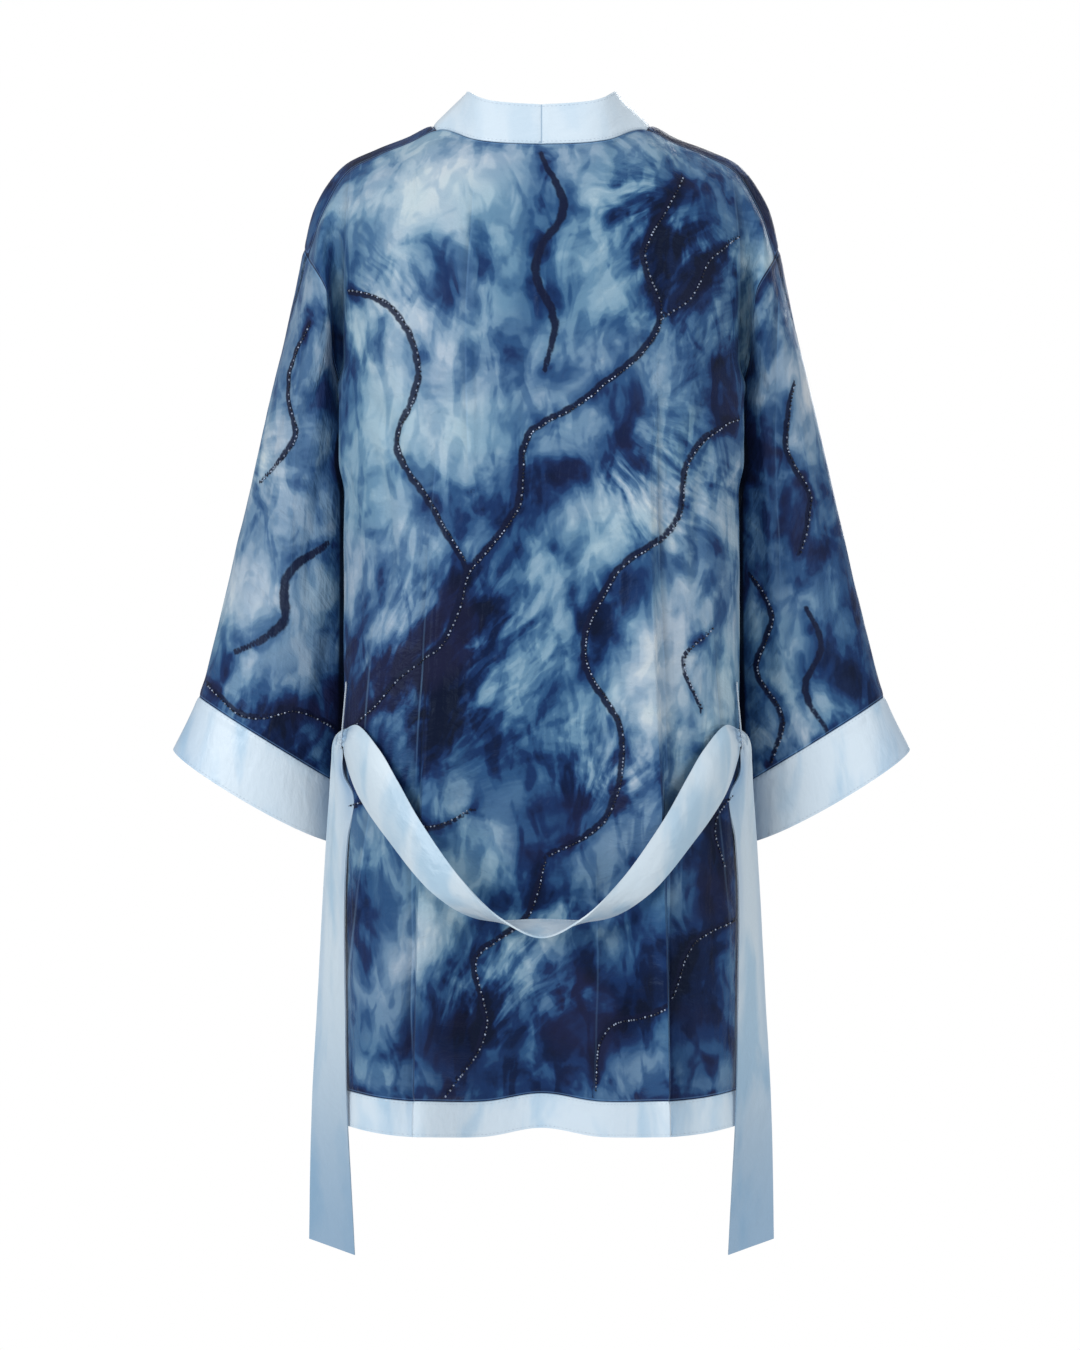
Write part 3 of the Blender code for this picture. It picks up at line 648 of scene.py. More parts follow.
def runs(grid):
    """How far each point lies down its column from the first row, and along its row from the first column."""
    down, across = np.zeros(grid.shape[:2]), np.zeros(grid.shape[:2])
    down[1:] = np.cumsum(np.linalg.norm(np.diff(grid, axis=0), axis=2), axis=0)
    across[:, 1:] = np.cumsum(np.linalg.norm(np.diff(grid, axis=1), axis=2), axis=1)
    return down, across


def seam_distance(grid, edges):
    """How far each point lies from its piece's nearest sewn edge."""
    down, across = runs(grid)
    nearest = np.full(down.shape, NO_SEAM)
    for row, column, share in edges:
        if share == 1:
            gap = down - down[[row]] if column == ALL else across - across[:, [column]]
            nearest = np.minimum(nearest, np.abs(gap))
    return nearest


CRUMPLE_SIZE = 46.0
CRUMPLE_DEPTH = 0.9
BAND_CRUMPLE = 0.35


def press_creases(grids, normals):
    """The surfaces with their creases, a soft crumple and the seams' grooves."""
    pressed = {}
    for name, grid in grids.items():
        points, ways = grid.reshape(-1, 3), normals[name].reshape(-1, 3)
        silk = name in SILK_NODES
        depth = crease_depth(points, ways) if silk else 0
        depth = depth + (CRUMPLE_DEPTH if silk else BAND_CRUMPLE) * noise(points, CRUMPLE_SIZE, SEED, 3)
        points = (points - ways * np.reshape(depth, (-1, 1))).reshape(grid.shape)
        for rows, columns, share in sewn_edges(name):
            points[rows, columns] -= normals[name][rows, columns] * SEAM_TUCK * share
        pressed[name] = points
    return weld(grids, pressed)


def weld(grids, pressed):
    """Points that were one before stay one: each takes the mean of the pieces that meet there."""
    key, count = shared_points(grids)
    return give_back(gather(pressed, key) / count[:, None], key, grids)


SHARP_ANGLE = math.radians(60)


def quads(rows, columns, ring):
    """The corner numbers of a grid's cells, facing out."""
    last = columns if ring else columns - 1
    i, j = np.meshgrid(np.arange(rows - 1), np.arange(last), indexing="ij")
    k = (j + 1) % columns
    cells = np.stack([i * columns + j, (i + 1) * columns + j, (i + 1) * columns + k, i * columns + k], axis=-1)
    return cells.reshape(-1, 4)


def shell_mesh(name, grid, normals, thick, ring):
    """A thin closed shell with the grid in its middle, and the cut's flat sizes in its UV map, in metres."""
    rows, columns = grid.shape[:2]
    middle, outward = grid.reshape(-1, 3), normals.reshape(-1, 3) * thick / 2
    shift = rows * columns
    cells = quads(rows, columns, ring)
    first, last = np.arange(columns), np.arange(columns) + (rows - 1) * columns
    rims = [(first, np.roll(first, -1)), (np.roll(last, -1), last)]
    if not ring:
        rims = [(a[:-1], b[:-1]) for a, b in rims]
        left = np.arange(rows) * columns
        rims += [(left[1:], left[:-1]), (left[:-1] + columns - 1, left[1:] + columns - 1)]
    sides = [np.stack([a, b, b + shift, a + shift], axis=1) for a, b in rims]
    faces = np.concatenate([cells, cells[:, ::-1] + shift] + sides)
    mesh = bpy.data.meshes.new(name)
    mesh.from_pydata(np.concatenate([middle + outward, middle - outward]) * MM, [], faces.tolist())
    mesh.shade_smooth()
    mesh.set_sharp_from_angle(angle=SHARP_ANGLE)
    across, down = path_run(grid[rows // 2]), path_run(grid[:, columns // 2])
    flat = np.stack(np.broadcast_arrays(across[None, :], down[:, None]), axis=-1).reshape(-1, 2) * MM
    loops = np.empty(len(mesh.loops), np.int32)
    mesh.loops.foreach_get("vertex_index", loops)
    mesh.uv_layers.new(name="cut").data.foreach_set("uv", np.tile(flat, (2, 1))[loops].ravel())
    return mesh


def join_parts(parts):
    """The points and faces of several parts in one list each, the points in metres."""
    points = np.concatenate([part[0] for part in parts]) * MM
    starts = np.cumsum([0] + [len(part[0]) for part in parts])
    return points.tolist(), np.concatenate([part[1] + start for part, start in zip(parts, starts)]).tolist()


def joined_mesh(name, parts):
    """One mesh of several parts, each with its points in millimetres and its faces."""
    points, faces = join_parts(parts)
    mesh = bpy.data.meshes.new(name)
    mesh.from_pydata(points, [], faces)
    return mesh


def link_new(name, data):
    """A new object in the scene."""
    thing = bpy.data.objects.new(name, data)
    bpy.context.scene.collection.objects.link(thing)
    return thing


def add_piece(name, mesh, *materials, node=None, slot=None):
    """A piece of the robe that rides on its one body and, with a node, replaces that node of the CAD part."""
    for finish in materials:
        mesh.materials.append(finish)
    piece = link_new(name, mesh)
    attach(piece, "root")
    if node:
        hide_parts(node)
    return piece


def store(mesh, name, values):
    """Keeps a value or a vector for each point of the shell, the same on its outside and inside."""
    values = np.asarray(values, float)
    kind, field = ("FLOAT", "value") if values.ndim == 1 else ("FLOAT_VECTOR", "vector")
    data = mesh.attributes.new(name, kind, "POINT").data
    data.foreach_set(field, np.concatenate([values, values]).ravel())


# A patch of the dye, as seen from behind (side -1) or from the front (side 1): its middle, its long and short
# half size, the turn of its long side in degrees, and how much darker (or, below 0, lighter) it makes the cloth
Patch = namedtuple("Patch", "side x z long short turn depth")
DYE_BASE = 0.52
PATCH_STRENGTH = 0.85
LOW_DEPTH = 0.13
LOW_FROM = -600.0
LOW_REACH = 240.0
PATCHES = tuple(Patch(*row) for row in (
    (-1, -108, -62, 66, 42, 25, -0.40), (-1, -40, -40, 40, 26, 0, -0.16),
    (-1, -128, -170, 70, 32, 85, -0.30), (-1, -112, -300, 84, 34, 80, -0.27),
    (-1, -60, -235, 40, 34, 30, -0.12), (-1, 20, -250, 66, 40, 60, -0.10),
    (-1, 60, -120, 24, 70, 15, -0.20), (-1, 98, -335, 74, 28, 35, -0.50),
    (-1, 118, -415, 66, 34, 60, -0.38), (-1, 84, -520, 52, 38, 50, -0.52),
    (-1, 142, -520, 30, 50, 0, -0.26), (-1, -62, -655, 84, 24, 45, -0.34),
    (-1, -120, -700, 30, 70, 0, -0.16), (-1, -10, -735, 56, 24, 35, -0.22),
    (-1, 112, -810, 50, 34, 0, -0.20), (-1, -118, -836, 60, 20, 12, -0.16),
    (-1, 132, -90, 56, 46, 0, 0.30), (-1, 106, -160, 42, 36, 20, 0.30),
    (-1, 152, -250, 70, 24, 80, 0.26), (-1, 14, -160, 60, 30, 40, 0.26),
    (-1, 150, -350, 60, 24, 85, 0.12), (-1, -18, -372, 120, 28, 50, 0.42),
    (-1, 60, -420, 70, 20, 30, 0.16), (-1, -92, -492, 64, 36, 35, 0.50),
    (-1, -10, -540, 40, 22, 20, 0.22), (-1, 32, -478, 50, 18, 55, 0.34),
    (-1, 14, -612, 66, 30, 40, 0.44), (-1, -144, -700, 20, 66, 4, -0.28),
    (-1, -104, -520, 16, 60, 0, 0.22), (-1, 96, -766, 54, 50, 10, 0.56),
    (-1, -46, -808, 56, 30, 15, 0.38), (-1, 152, -660, 70, 24, 90, 0.40),
    (-1, -156, -690, 24, 80, 0, 0.20), (-1, -236, -250, 70, 34, 80, -0.28),
    (-1, -236, -382, 50, 50, 0, -0.32), (-1, -206, -160, 26, 50, 0, 0.16),
    (-1, -198, -330, 20, 60, 0, 0.12), (-1, -250, -506, 70, 30, 25, 0.32),
    (-1, -200, -560, 40, 34, 0, 0.24), (-1, 222, -176, 40, 56, 0, -0.42),
    (-1, 226, -330, 40, 66, 10, 0.14), (-1, 206, -440, 24, 70, 0, -0.32),
    (-1, 270, -440, 34, 60, 15, 0.24), (-1, 236, -566, 60, 26, -30, 0.30),
    (-1, 196, -520, 22, 30, 0, -0.20), (1, 116, -120, 60, 44, 20, -0.34),
    (1, -118, -150, 60, 40, 60, 0.34), (1, -96, -330, 70, 34, 70, -0.36),
    (1, 104, -300, 70, 34, 110, 0.36), (1, 130, -470, 50, 34, 30, -0.34),
    (1, -128, -500, 60, 36, 40, 0.44), (1, -86, -650, 56, 34, 50, -0.40),
    (1, 96, -640, 70, 40, 60, 0.46), (1, 120, -800, 54, 34, 20, -0.30),
    (1, -120, -800, 60, 40, 10, 0.44), (1, 236, -260, 60, 40, 80, -0.30),
    (1, 250, -450, 60, 40, 60, 0.40), (1, -236, -300, 70, 40, 80, 0.32),
    (1, -244, -460, 50, 40, 40, -0.34),
))

# Where the cloth was gathered before it was dyed, streaks run out from a point: its middle, the direction they
# run to and their spread in degrees, how far out they start and end, and their strength
Fan = namedtuple("Fan", "side x z towards spread starts ends strength")
FANS = (
    (
        Fan(-1, -190, -640, 56, 24, 90, 400, 1.0),
        Fan(-1, 330, 60, 226, 20, 210, 420, 0.7),
        Fan(1, -160, -740, 60, 40, 60, 330, 0.9),
        Fan(-1, 310, -690, 122, 24, 60, 260, 0.7),
    ),
    (
        Fan(-1, 138, -66, 236, 90, 16, 120, 0.9),
        Fan(-1, -120, -920, 62, 22, 100, 330, 0.8),
        Fan(1, 160, -520, 100, 60, 40, 230, 0.8),
        Fan(-1, -330, -260, -20, 40, 40, 170, 0.5),
    ),
    (
        Fan(-1, 30, -250, 318, 34, 40, 240, 0.8),
        Fan(-1, -210, -60, -62, 30, 60, 250, 0.6),
        Fan(-1, 20, -660, 70, 30, 40, 220, 0.8),
        Fan(-1, -330, -620, 50, 40, 60, 190, 0.7),
        Fan(1, 236, -560, 90, 50, 50, 250, 0.8),
        Fan(1, -230, -580, 80, 50, 50, 250, 0.8),
    ),
)
# How wide streaks are at the reach where that is measured, how long, and the fingers that patches grow along them
STREAK_WIDE = 62.0
STREAK_LONG = 0.14
STREAK_REACH = 150.0
FINGER_LENGTH = 46.0
FINGER_SIZE = (6.0, 70.0)

# The size and strength of the noise that pushes patches and streaks about, and of the dye's own unevenness
PATCH_WARP = (90.0, 30.0)
FAN_WARP = (80.0, 18.0)
UNEVEN_SIZE = 60.0
UNEVEN_DYE = 0.10


def warped(points, salt, size, amount):
    """Places (x, z) pushed about by noise, so that no patch keeps a plain outline."""
    shift = np.stack([noise(points, size, salt, 3), noise(points, size, salt + 7, 3)], axis=1)
    return points[:, [0, 2]] + amount * shift


def dye_depth(points, normals, moved):
    """How dark the dye is at each point, about 0 to 1. Along the streaks its patches end in fingers."""
    places = warped(points, SEED + 1, *PATCH_WARP) + moved
    for number, fans in enumerate(FANS):
        streaks, nearest = streak_place(points, normals, fans)
        across, along, strength = streaks.T
        across = across / STREAK_WIDE * STREAK_REACH / FINGER_SIZE[0]
        along = along / STREAK_LONG / FINGER_SIZE[1]
        spot = np.stack([across, along, np.full(len(across), 9.0 * number)], axis=1)
        reach = FINGER_LENGTH * strength * noise(spot, 1.0, SEED + 20, 2)
        turn = np.radians([fan.towards for fan in fans])[nearest]
        places = places + reach[:, None] * np.stack([np.cos(turn), np.sin(turn)], axis=1)
    depth = DYE_BASE + UNEVEN_DYE * noise(points, UNEVEN_SIZE, SEED + 3, 3)
    # The silk is made darker towards the bottom
    depth = depth + LOW_DEPTH * smooth_step((LOW_FROM - points[:, 2]) / LOW_REACH)
    for patch in PATCHES:
        turn = math.radians(patch.turn)
        away = places - (patch.x, patch.z)
        along = (away[:, 0] * math.cos(turn) + away[:, 1] * math.sin(turn)) / patch.long
        across = (away[:, 1] * math.cos(turn) - away[:, 0] * math.sin(turn)) / patch.short
        shape = np.exp(-(along ** 2 + across ** 2))
        depth = depth + PATCH_STRENGTH * patch.depth * shape * facing(normals, patch.side)
    return depth


def fan_polar(points, fan):
    """How far round from the fan's direction each point lies, in radians, and how far out, in millimetres."""
    away = warped(points, SEED + 5, *FAN_WARP) - (fan.x, fan.z)
    off = np.arctan2(away[:, 1], away[:, 0]) - math.radians(fan.towards)
    return (off + np.pi) % (2 * np.pi) - np.pi, np.linalg.norm(away, axis=1)


def fan_strengths(points, normals, fans):
    """How strong each fan's streaks are at each point."""
    strengths = []
    for fan in fans:
        off, radius = fan_polar(points, fan)
        share = (radius - fan.starts) / (fan.ends - fan.starts)
        reach = smooth_step(share * 4) * smooth_step((1 - share) * 1.6)
        wide = np.exp(-(np.degrees(off) / fan.spread) ** 2)
        strengths.append(fan.strength * wide * reach * facing(normals, fan.side))
    return np.stack(strengths, axis=1)


def streak_place(points, normals, fans):
    """Coordinates across and along a group of fans with the streaks' strength, and each point's strongest fan."""
    strengths = fan_strengths(points, normals, fans)
    nearest = np.argmax(strengths, axis=1)
    result = np.zeros((len(points), 3))
    for number, fan in enumerate(fans):
        chosen = nearest == number
        off, radius = fan_polar(points[chosen], fan)
        across = off * STREAK_WIDE * ((fan.starts + fan.ends) / (2 * STREAK_REACH)) + 900 * number
        result[chosen] = np.stack([across, radius * STREAK_LONG, strengths[chosen, number]], axis=1)
    return result, nearest


# A drawn vein, as seen from behind (side -1) or from the front (side 1): its half width, whether it is beaded,
# and its course, from its first place to its last
Vein = namedtuple("Vein", "side half_width beads course")
VEINS = tuple(Vein(*row) for row in (
    (-1, 3.0, 1, ((126, -50), (92, -116), (98, -188), (46, -246), (-10, -280), (-24, -346), (-66, -400),
            (-84, -462), (-130, -500), (-177, -548))),
    (-1, 3.1, 1, ((-176, -150), (-136, -166), (-106, -222), (-124, -290), (-96, -346), (-66, -398))),
    (-1, 3.6, 0, ((2, -32), (18, -84), (-6, -136), (12, -188), (0, -226))),
    (-1, 3.0, 1, ((176, -262), (132, -292), (116, -356), (64, -404), (36, -470), (70, -540), (58, -612),
            (4, -650))),
    (-1, 2.7, 1, ((4, -650), (-14, -700), (-60, -738), (-50, -800), (-88, -862))),
    (-1, 2.7, 1, ((176, -704), (132, -722), (106, -778), (56, -800), (44, -862))),
    (-1, 2.6, 1, ((-176, -612), (-136, -600), (-100, -626), (-58, -606))),
    (-1, 2.6, 1, ((176, -586), (152, -616), (160, -664))),
    (-1, 2.0, 1, ((150, -446), (126, -478), (138, -524))),
    (-1, 2.2, 1, ((176, -98), (150, -126), (130, -160), (99, -182))),
    (-1, 4.2, 0, ((-192, -372), (-226, -400), (-234, -446), (-276, -468))),
    (-1, 2.8, 1, ((-206, -176), (-228, -226), (-222, -276), (-256, -318))),
    (-1, 2.7, 1, ((-186, -540), (-222, -520), (-262, -530), (-304, -496))),
    (-1, 2.6, 1, ((226, -226), (218, -282), (242, -334), (230, -384))),
    (-1, 2.7, 1, ((186, -400), (208, -436), (196, -488), (214, -530), (202, -572))),
    (-1, 3.2, 0, ((258, -546), (236, -506), (250, -462), (238, -430))),
    (1, 3.0, 1, ((176, -214), (138, -286), (146, -372), (104, -450), (98, -520), (60, -560))),
    (1, 3.0, 1, ((-60, -330), (-98, -400), (-112, -490), (-150, -560), (-160, -640))),
    (1, 2.7, 1, ((60, -700), (96, -742), (110, -800), (150, -862))),
    (1, 2.7, 1, ((-62, -720), (-100, -760), (-104, -862))),
    (1, 3.4, 0, ((-120, -60), (-132, -140), (-110, -210))),
    (1, 2.7, 1, ((190, -300), (232, -330), (262, -312))),
    (1, 2.7, 1, ((188, -470), (228, -450), (286, -470))),
    (1, 2.7, 1, ((-190, -340), (-226, -316), (-258, -330))),
    (1, 2.7, 1, ((-188, -500), (-236, -486), (-290, -500))),
))
VEIN_STEP = 1.0
VEIN_WOBBLE = 5.0
VEIN_WOBBLE_SIZE = 44.0
VEIN_FAR = 8.0
VEIN_TAPER = 40.0
VEIN_TIP = 0.62
FAR_OUT = 0.6
LEAST_FACING = 0.3
BEAD_STEP = 3.3
BEAD_RADIUS = 0.95
BEAD_ROWS = 3
BEAD_SIDES = 8
BEAD_SIZES = (0.86, 1.1)
BEAD_SHAPE = (1.05, 1.0, 0.9)
BEAD_ASIDE = 0.6
BEAD_STRAY = 0.2
BEAD_SUNK = 0.8
ODD_BEADS = 0.15


def vein_places(vein, number):
    """The vein's course as a wavering line of places (x, z), a step apart."""
    corners = np.array(vein.course, float)
    stations = path_run(corners)
    at = np.arange(0, stations[-1], VEIN_STEP)
    line = spline(stations, corners, at)
    way = unit(np.gradient(line, axis=0))
    spot = np.stack([at, np.full(len(at), 50.0 * number), np.zeros(len(at))], axis=1)
    sway = VEIN_WOBBLE * noise(spot, VEIN_WOBBLE_SIZE, SEED + 11, 3)
    return line + np.stack([-way[:, 1], way[:, 0]], axis=1) * sway[:, None]


def trace_veins(tree):
    """Each vein laid on the cloth: its points and the cloth's outward direction there."""
    laid = []
    for number, vein in enumerate(VEINS):
        points, ways = [], []
        for x, z in vein_places(vein, number):
            start = Vector((x * MM, vein.side * FAR_OUT, z * MM))
            hit, way, _, _ = tree.ray_cast(start, Vector((0, -vein.side, 0)))
            if hit is not None and abs(way.y) > LEAST_FACING:
                points.append(np.array(hit) / MM)
                ways.append(np.array(way))
        laid.append((vein, np.array(points), np.array(ways)))
    return laid


def outer_tree(grids, rings):
    """What a ray from outside meets first: the outsides of all silk pieces."""
    parts = [(grids[name].reshape(-1, 3), quads(*grids[name].shape[:2], name in rings)) for name in SILK_NODES]
    return BVHTree.FromPolygons(*join_parts(parts))


def vein_nearness(points, laid):
    """The distance to the nearest vein, in the vein's own half widths. Veins are thinner towards their ends."""
    best = np.full(len(points), VEIN_FAR)
    for vein, line, _ in laid:
        if len(line) == 0:
            continue
        tree = KDTree(len(line))
        for i, point in enumerate(line):
            tree.insert(point, i)
        tree.balance()
        for i in np.flatnonzero(close_to(points, line, vein.half_width * VEIN_FAR)):
            _, spot, gap = tree.find(points[i])
            swell = VEIN_TIP + (1 - VEIN_TIP) * min(1, spot / VEIN_TAPER, (len(line) - spot) / VEIN_TAPER)
            best[i] = min(best[i], gap / (vein.half_width * swell))
    return best


def unit_bead():
    """A bead of radius 1 round its thread, which runs along the first axis: its points and faces."""
    points = [(1.0, 0.0, 0.0)]
    for row in range(1, BEAD_ROWS + 1):
        lift = math.pi * row / (BEAD_ROWS + 1)
        for angle in (2 * np.arange(BEAD_SIDES) + row) * np.pi / BEAD_SIDES:
            points.append((math.cos(lift), math.sin(lift) * math.cos(angle), math.sin(lift) * math.sin(angle)))
    points.append((-1.0, 0.0, 0.0))
    starts = [1 + row * BEAD_SIDES for row in range(BEAD_ROWS)]
    turns = [(j, (j + 1) % BEAD_SIDES) for j in range(BEAD_SIDES)]
    faces = [(0, 1 + j, 1 + k) for j, k in turns]
    for a, b in zip(starts, starts[1:]):
        for j, k in turns:
            faces += [(a + j, b + j, a + k), (a + k, b + j, b + k)]
    faces += [(starts[-1] + j, len(points) - 1, starts[-1] + k) for j, k in turns]
    return np.array(points), np.array(faces)


def bead_mesh(name, laid):
    """The beads that are sewn along one side of the veins, dark and silver in turn."""
    rng = np.random.default_rng(SEED)
    ball, faces = unit_bead()
    beads, slots = [], []
    for vein, line, ways in laid:
        if not vein.beads or len(line) < 3:
            continue
        run = path_run(line)
        for at in np.arange(BEAD_STEP, run[-1] - BEAD_STEP, BEAD_STEP):
            i = min(np.searchsorted(run, at), len(line) - 2)
            if run[i] - run[i - 1] > 3 * VEIN_STEP:
                continue
            out = ways[i] / np.linalg.norm(ways[i])
            along = line[i + 1] - line[i - 1]
            along -= out * (along @ out)
            along /= np.linalg.norm(along)
            aside = np.cross(out, along)
            size = BEAD_RADIUS * rng.uniform(*BEAD_SIZES)
            shift = aside * (vein.half_width * BEAD_ASIDE + rng.uniform(-BEAD_STRAY, BEAD_STRAY))
            middle = line[i] + shift + out * (SILK_THICK / 2 + size * BEAD_SUNK)
            axes = np.stack([way * size * share for way, share in zip((along, aside, out), BEAD_SHAPE)])
            beads.append((middle + ball @ axes, faces))
            silver = (round(at / BEAD_STEP) % 2 == 0) != (rng.random() < ODD_BEADS)
            slots += [int(silver)] * len(faces)
    mesh = joined_mesh(name, beads)
    mesh.polygons.foreach_set("material_index", slots)
    return mesh


class Nodes:
    """Short ways to add nodes to a new material and join them."""

    def __init__(self, name):
        self.material = bpy.data.materials.new(name)
        self.material.use_nodes = True
        self.tree = self.material.node_tree
        self.shader = self.tree.nodes["Principled BSDF"]

    def join(self, value, socket):
        if isinstance(value, bpy.types.NodeSocket):
            self.tree.links.new(value, socket)
        else:
            socket.default_value = value

    def add(self, kind, inputs=(), output=0, **settings):
        node = self.tree.nodes.new(kind)
        for key, value in settings.items():
            setattr(node, key, value)
        for key, value in dict(inputs).items():
            self.join(value, node.inputs[key])
        return node.outputs[output]

    def math(self, operation, *values):
        return self.add("ShaderNodeMath", enumerate(values), operation=operation)

    def plus(self, first, second):
        return self.math("ADD", first, second)

    def times(self, first, second):
        return self.math("MULTIPLY", first, second)

    def parts(self, vector):
        return self.add("ShaderNodeSeparateXYZ", {"Vector": vector}).node.outputs

    def scaled(self, vector, scale, turned=(0, 0, 0)):
        return self.add("ShaderNodeMapping", {"Vector": vector, "Rotation": turned, "Scale": scale})

    def ramp_to(self, value, low, high, bottom=0.0, top=1.0):
        """The value, moved smoothly from the range low to high into bottom to top."""
        inputs = {"Value": value, "From Min": low, "From Max": high, "To Min": bottom, "To Max": top}
        return self.add("ShaderNodeMapRange", inputs, interpolation_type="SMOOTHSTEP")

    def swing(self, value, reach, low=0.38, high=0.62):
        """The middle range of a noise, spread from -reach to reach."""
        return self.ramp_to(value, low, high, -reach, reach)

    def attribute(self, name, output="Fac"):
        return self.add("ShaderNodeAttribute", output=output, attribute_name=name)

    def noise(self, vector, scale, detail=2.0, roughness=0.5, distortion=0.0):
        inputs = {"Vector": vector, "Scale": scale, "Detail": detail}
        inputs |= {"Roughness": roughness, "Distortion": distortion}
        return self.add("ShaderNodeTexNoise", inputs)

    def cut_noise(self, scale, *noise):
        """Noise on the flat cut of the cloth, finer or coarser each way."""
        return self.noise(self.scaled(self.cut(), scale), *noise)

    def place(self):
        return self.add("ShaderNodeTexCoord", output="Object")

    def cut(self):
        return self.add("ShaderNodeTexCoord", output="UV")

    def mix(self, share, first, second, blend="MIX"):
        node = self.tree.nodes.new("ShaderNodeMix")
        node.data_type, node.blend_type = "RGBA", blend
        self.join(share, node.inputs["Factor"])
        self.join(first, node.inputs[6])
        self.join(second, node.inputs[7])
        return node.outputs[2]

    def layers(self, colour, *coats):
        """The colour with each coat laid over it, a pair of its share and its own colour."""
        for share, coat in coats:
            colour = self.mix(share, colour, coat)
        return colour

    def colours(self, value, stops):
        node = self.tree.nodes.new("ShaderNodeValToRGB")
        ramp = node.color_ramp
        ramp.interpolation = "EASE"
        while len(ramp.elements) < len(stops):
            ramp.elements.new(0.5)
        for element, (position, colour) in zip(ramp.elements, stops):
            element.position = position
            element.color = colour
        self.join(value, node.inputs[0])
        return node.outputs[0]

    def bumps(self, *layers):
        """The normal with each layer's height, distance and strength laid over the one before."""
        normal = None
        for height, distance, strength in layers:
            inputs = {"Height": height, "Distance": distance, "Strength": strength}
            if normal is not None:
                inputs["Normal"] = normal
            normal = self.add("ShaderNodeBump", inputs)
        return normal

    def finish(self, **sockets):
        for key, value in sockets.items():
            self.join(value, self.shader.inputs[key.replace("_", " ")])
        return self.material


def linear(red, green, blue):
    """A colour given as it looks on a screen, 0 to 255, in the renderer's linear values, without transparency."""
    shares = [value / 255 for value in (red, green, blue)]
    return (*(((v + 0.055) / 1.055) ** 2.4 if v > 10 / 255 else v / 12.92 for v in shares), 1.0)


DYE_STOPS = (
    (0.00, linear(188, 200, 208)),
    (0.15, linear(161, 180, 196)),
    (0.30, linear(130, 156, 179)),
    (0.40, linear(102, 134, 163)),
    (0.50, linear(69, 104, 141)),
    (0.60, linear(42, 77, 120)),
    (0.70, linear(22, 47, 92)),
    (0.82, linear(9, 25, 62)),
    (1.00, linear(5, 12, 38)),
)
TEAL = linear(226, 250, 248)
VIOLET = linear(250, 244, 246)
# Navy for drawn veins, seam lines and the fold lines' painted shadow; pale blue for painted highlights
LINE_AND_SHADOW_NAVY = linear(14, 18, 46)
PAINTED_HIGHLIGHT = linear(120, 164, 212)
RIPE_DYE = linear(32, 31, 62)
# Near-black painted shade where a sleeve goes behind the body
RECESS_PAINTED_SHADE_COLOUR = linear(6, 8, 26)
# The satin's deeper blue: its seam lines, and painted shade towards the bottom and along the belt's puckers
SATIN_DEEP = linear(104, 140, 172)
# The blue of the satin's painted shade
SATIN_SHADE = linear(112, 152, 190)
SATIN_BLUER = (30, 18, 9)
SILK_GLOSS = (0.55, 0.74, 1.0, 1.0)
THREADS_PER_M = 2600.0

# Noises of the silk: how fine they are, their detail, roughness and distortion
BROAD_STREAKS = (0.11, 2.0, 0.5, 0.5)
FINE_STREAKS = (0.34, 2.0, 0.5, 0.4)
CLOUD = (15.0, 4.0, 0.52, 0.5)
WISPS = (50.0, 2.0, 0.5, 0.8)
SOAKING = (30.0, 2.0)
TONE = (7.0, 3.0, 0.5)
RAGGED = (120.0, 3.0, 0.5)
CRINKLE = (46.0, 4.0, 0.55, 0.4)
HANGING = (70.0, 3.0, 0.5)

# How much deeper, at most, each of these makes the dye, or for the recess the painted shade beside the body
SEAM_DYE = 0.07
RECESS_PAINTED_SHADE = 0.14
VEIN_DYE = 0.16
STREAK_DYE = 0.17
CLOUD_DYE = 0.12
WISP_DYE = 0.08
DYE_SPREAD = 9.0


def woven(nodes):
    """Fine threads both ways, and slightly thicker ones here and there along the cut."""
    threads = nodes.cut_noise((THREADS_PER_M, THREADS_PER_M / 3, 1), 1.0, 1.0)
    return nodes.plus(threads, nodes.times(nodes.cut_noise((18, 900, 1), 1.0, 2.0), 0.6))


def puckers(nodes, place, fine, seam, reach):
    """Small uneven puckers along the seams."""
    return nodes.times(nodes.noise(place, fine, 2.0), nodes.ramp_to(seam, 1.0, reach, 1.0, 0.0))


def silk_depth(nodes, place, cloud):
    """How deeply the silk is dyed, from each point's depth and the streaks, clouds and wisps, with painted shade
    beside the body.
    """
    depth = nodes.attribute("dye")
    depth = nodes.plus(depth, nodes.ramp_to(nodes.attribute("seam"), 0.0, DYE_SPREAD, SEAM_DYE, 0.0))
    for number in range(len(FANS)):
        across, along, strength = nodes.parts(nodes.attribute(f"streak_{number}", "Vector"))
        spot = nodes.add("ShaderNodeCombineXYZ", {"X": across, "Y": along, "Z": 3.0 * number})
        broad = nodes.swing(nodes.noise(spot, *BROAD_STREAKS), 1.0)
        fine = nodes.swing(nodes.noise(spot, *FINE_STREAKS), 0.4)
        depth = nodes.plus(depth, nodes.times(nodes.times(nodes.plus(broad, fine), strength), STREAK_DYE))
    drawn_out = nodes.scaled(place, (1.0, 1.0, 0.45), (0, 0.5, 0))
    # Painted shade beside the body, where a sleeve goes behind it
    recess = nodes.ramp_to(nodes.attribute("recess"), 0.0, DYE_SPREAD, RECESS_PAINTED_SHADE, 0.0)
    soaked = nodes.ramp_to(nodes.noise(place, *SOAKING), 0.42, 0.6, 0.25, 1.0)
    halo = nodes.times(nodes.ramp_to(nodes.attribute("vein"), 1.0, 5.0, VEIN_DYE, 0.0), soaked)
    wisps = nodes.swing(nodes.noise(drawn_out, *WISPS), WISP_DYE, 0.40)
    for more in (nodes.swing(cloud, CLOUD_DYE), wisps, recess, halo):
        depth = nodes.plus(depth, more)
    return depth


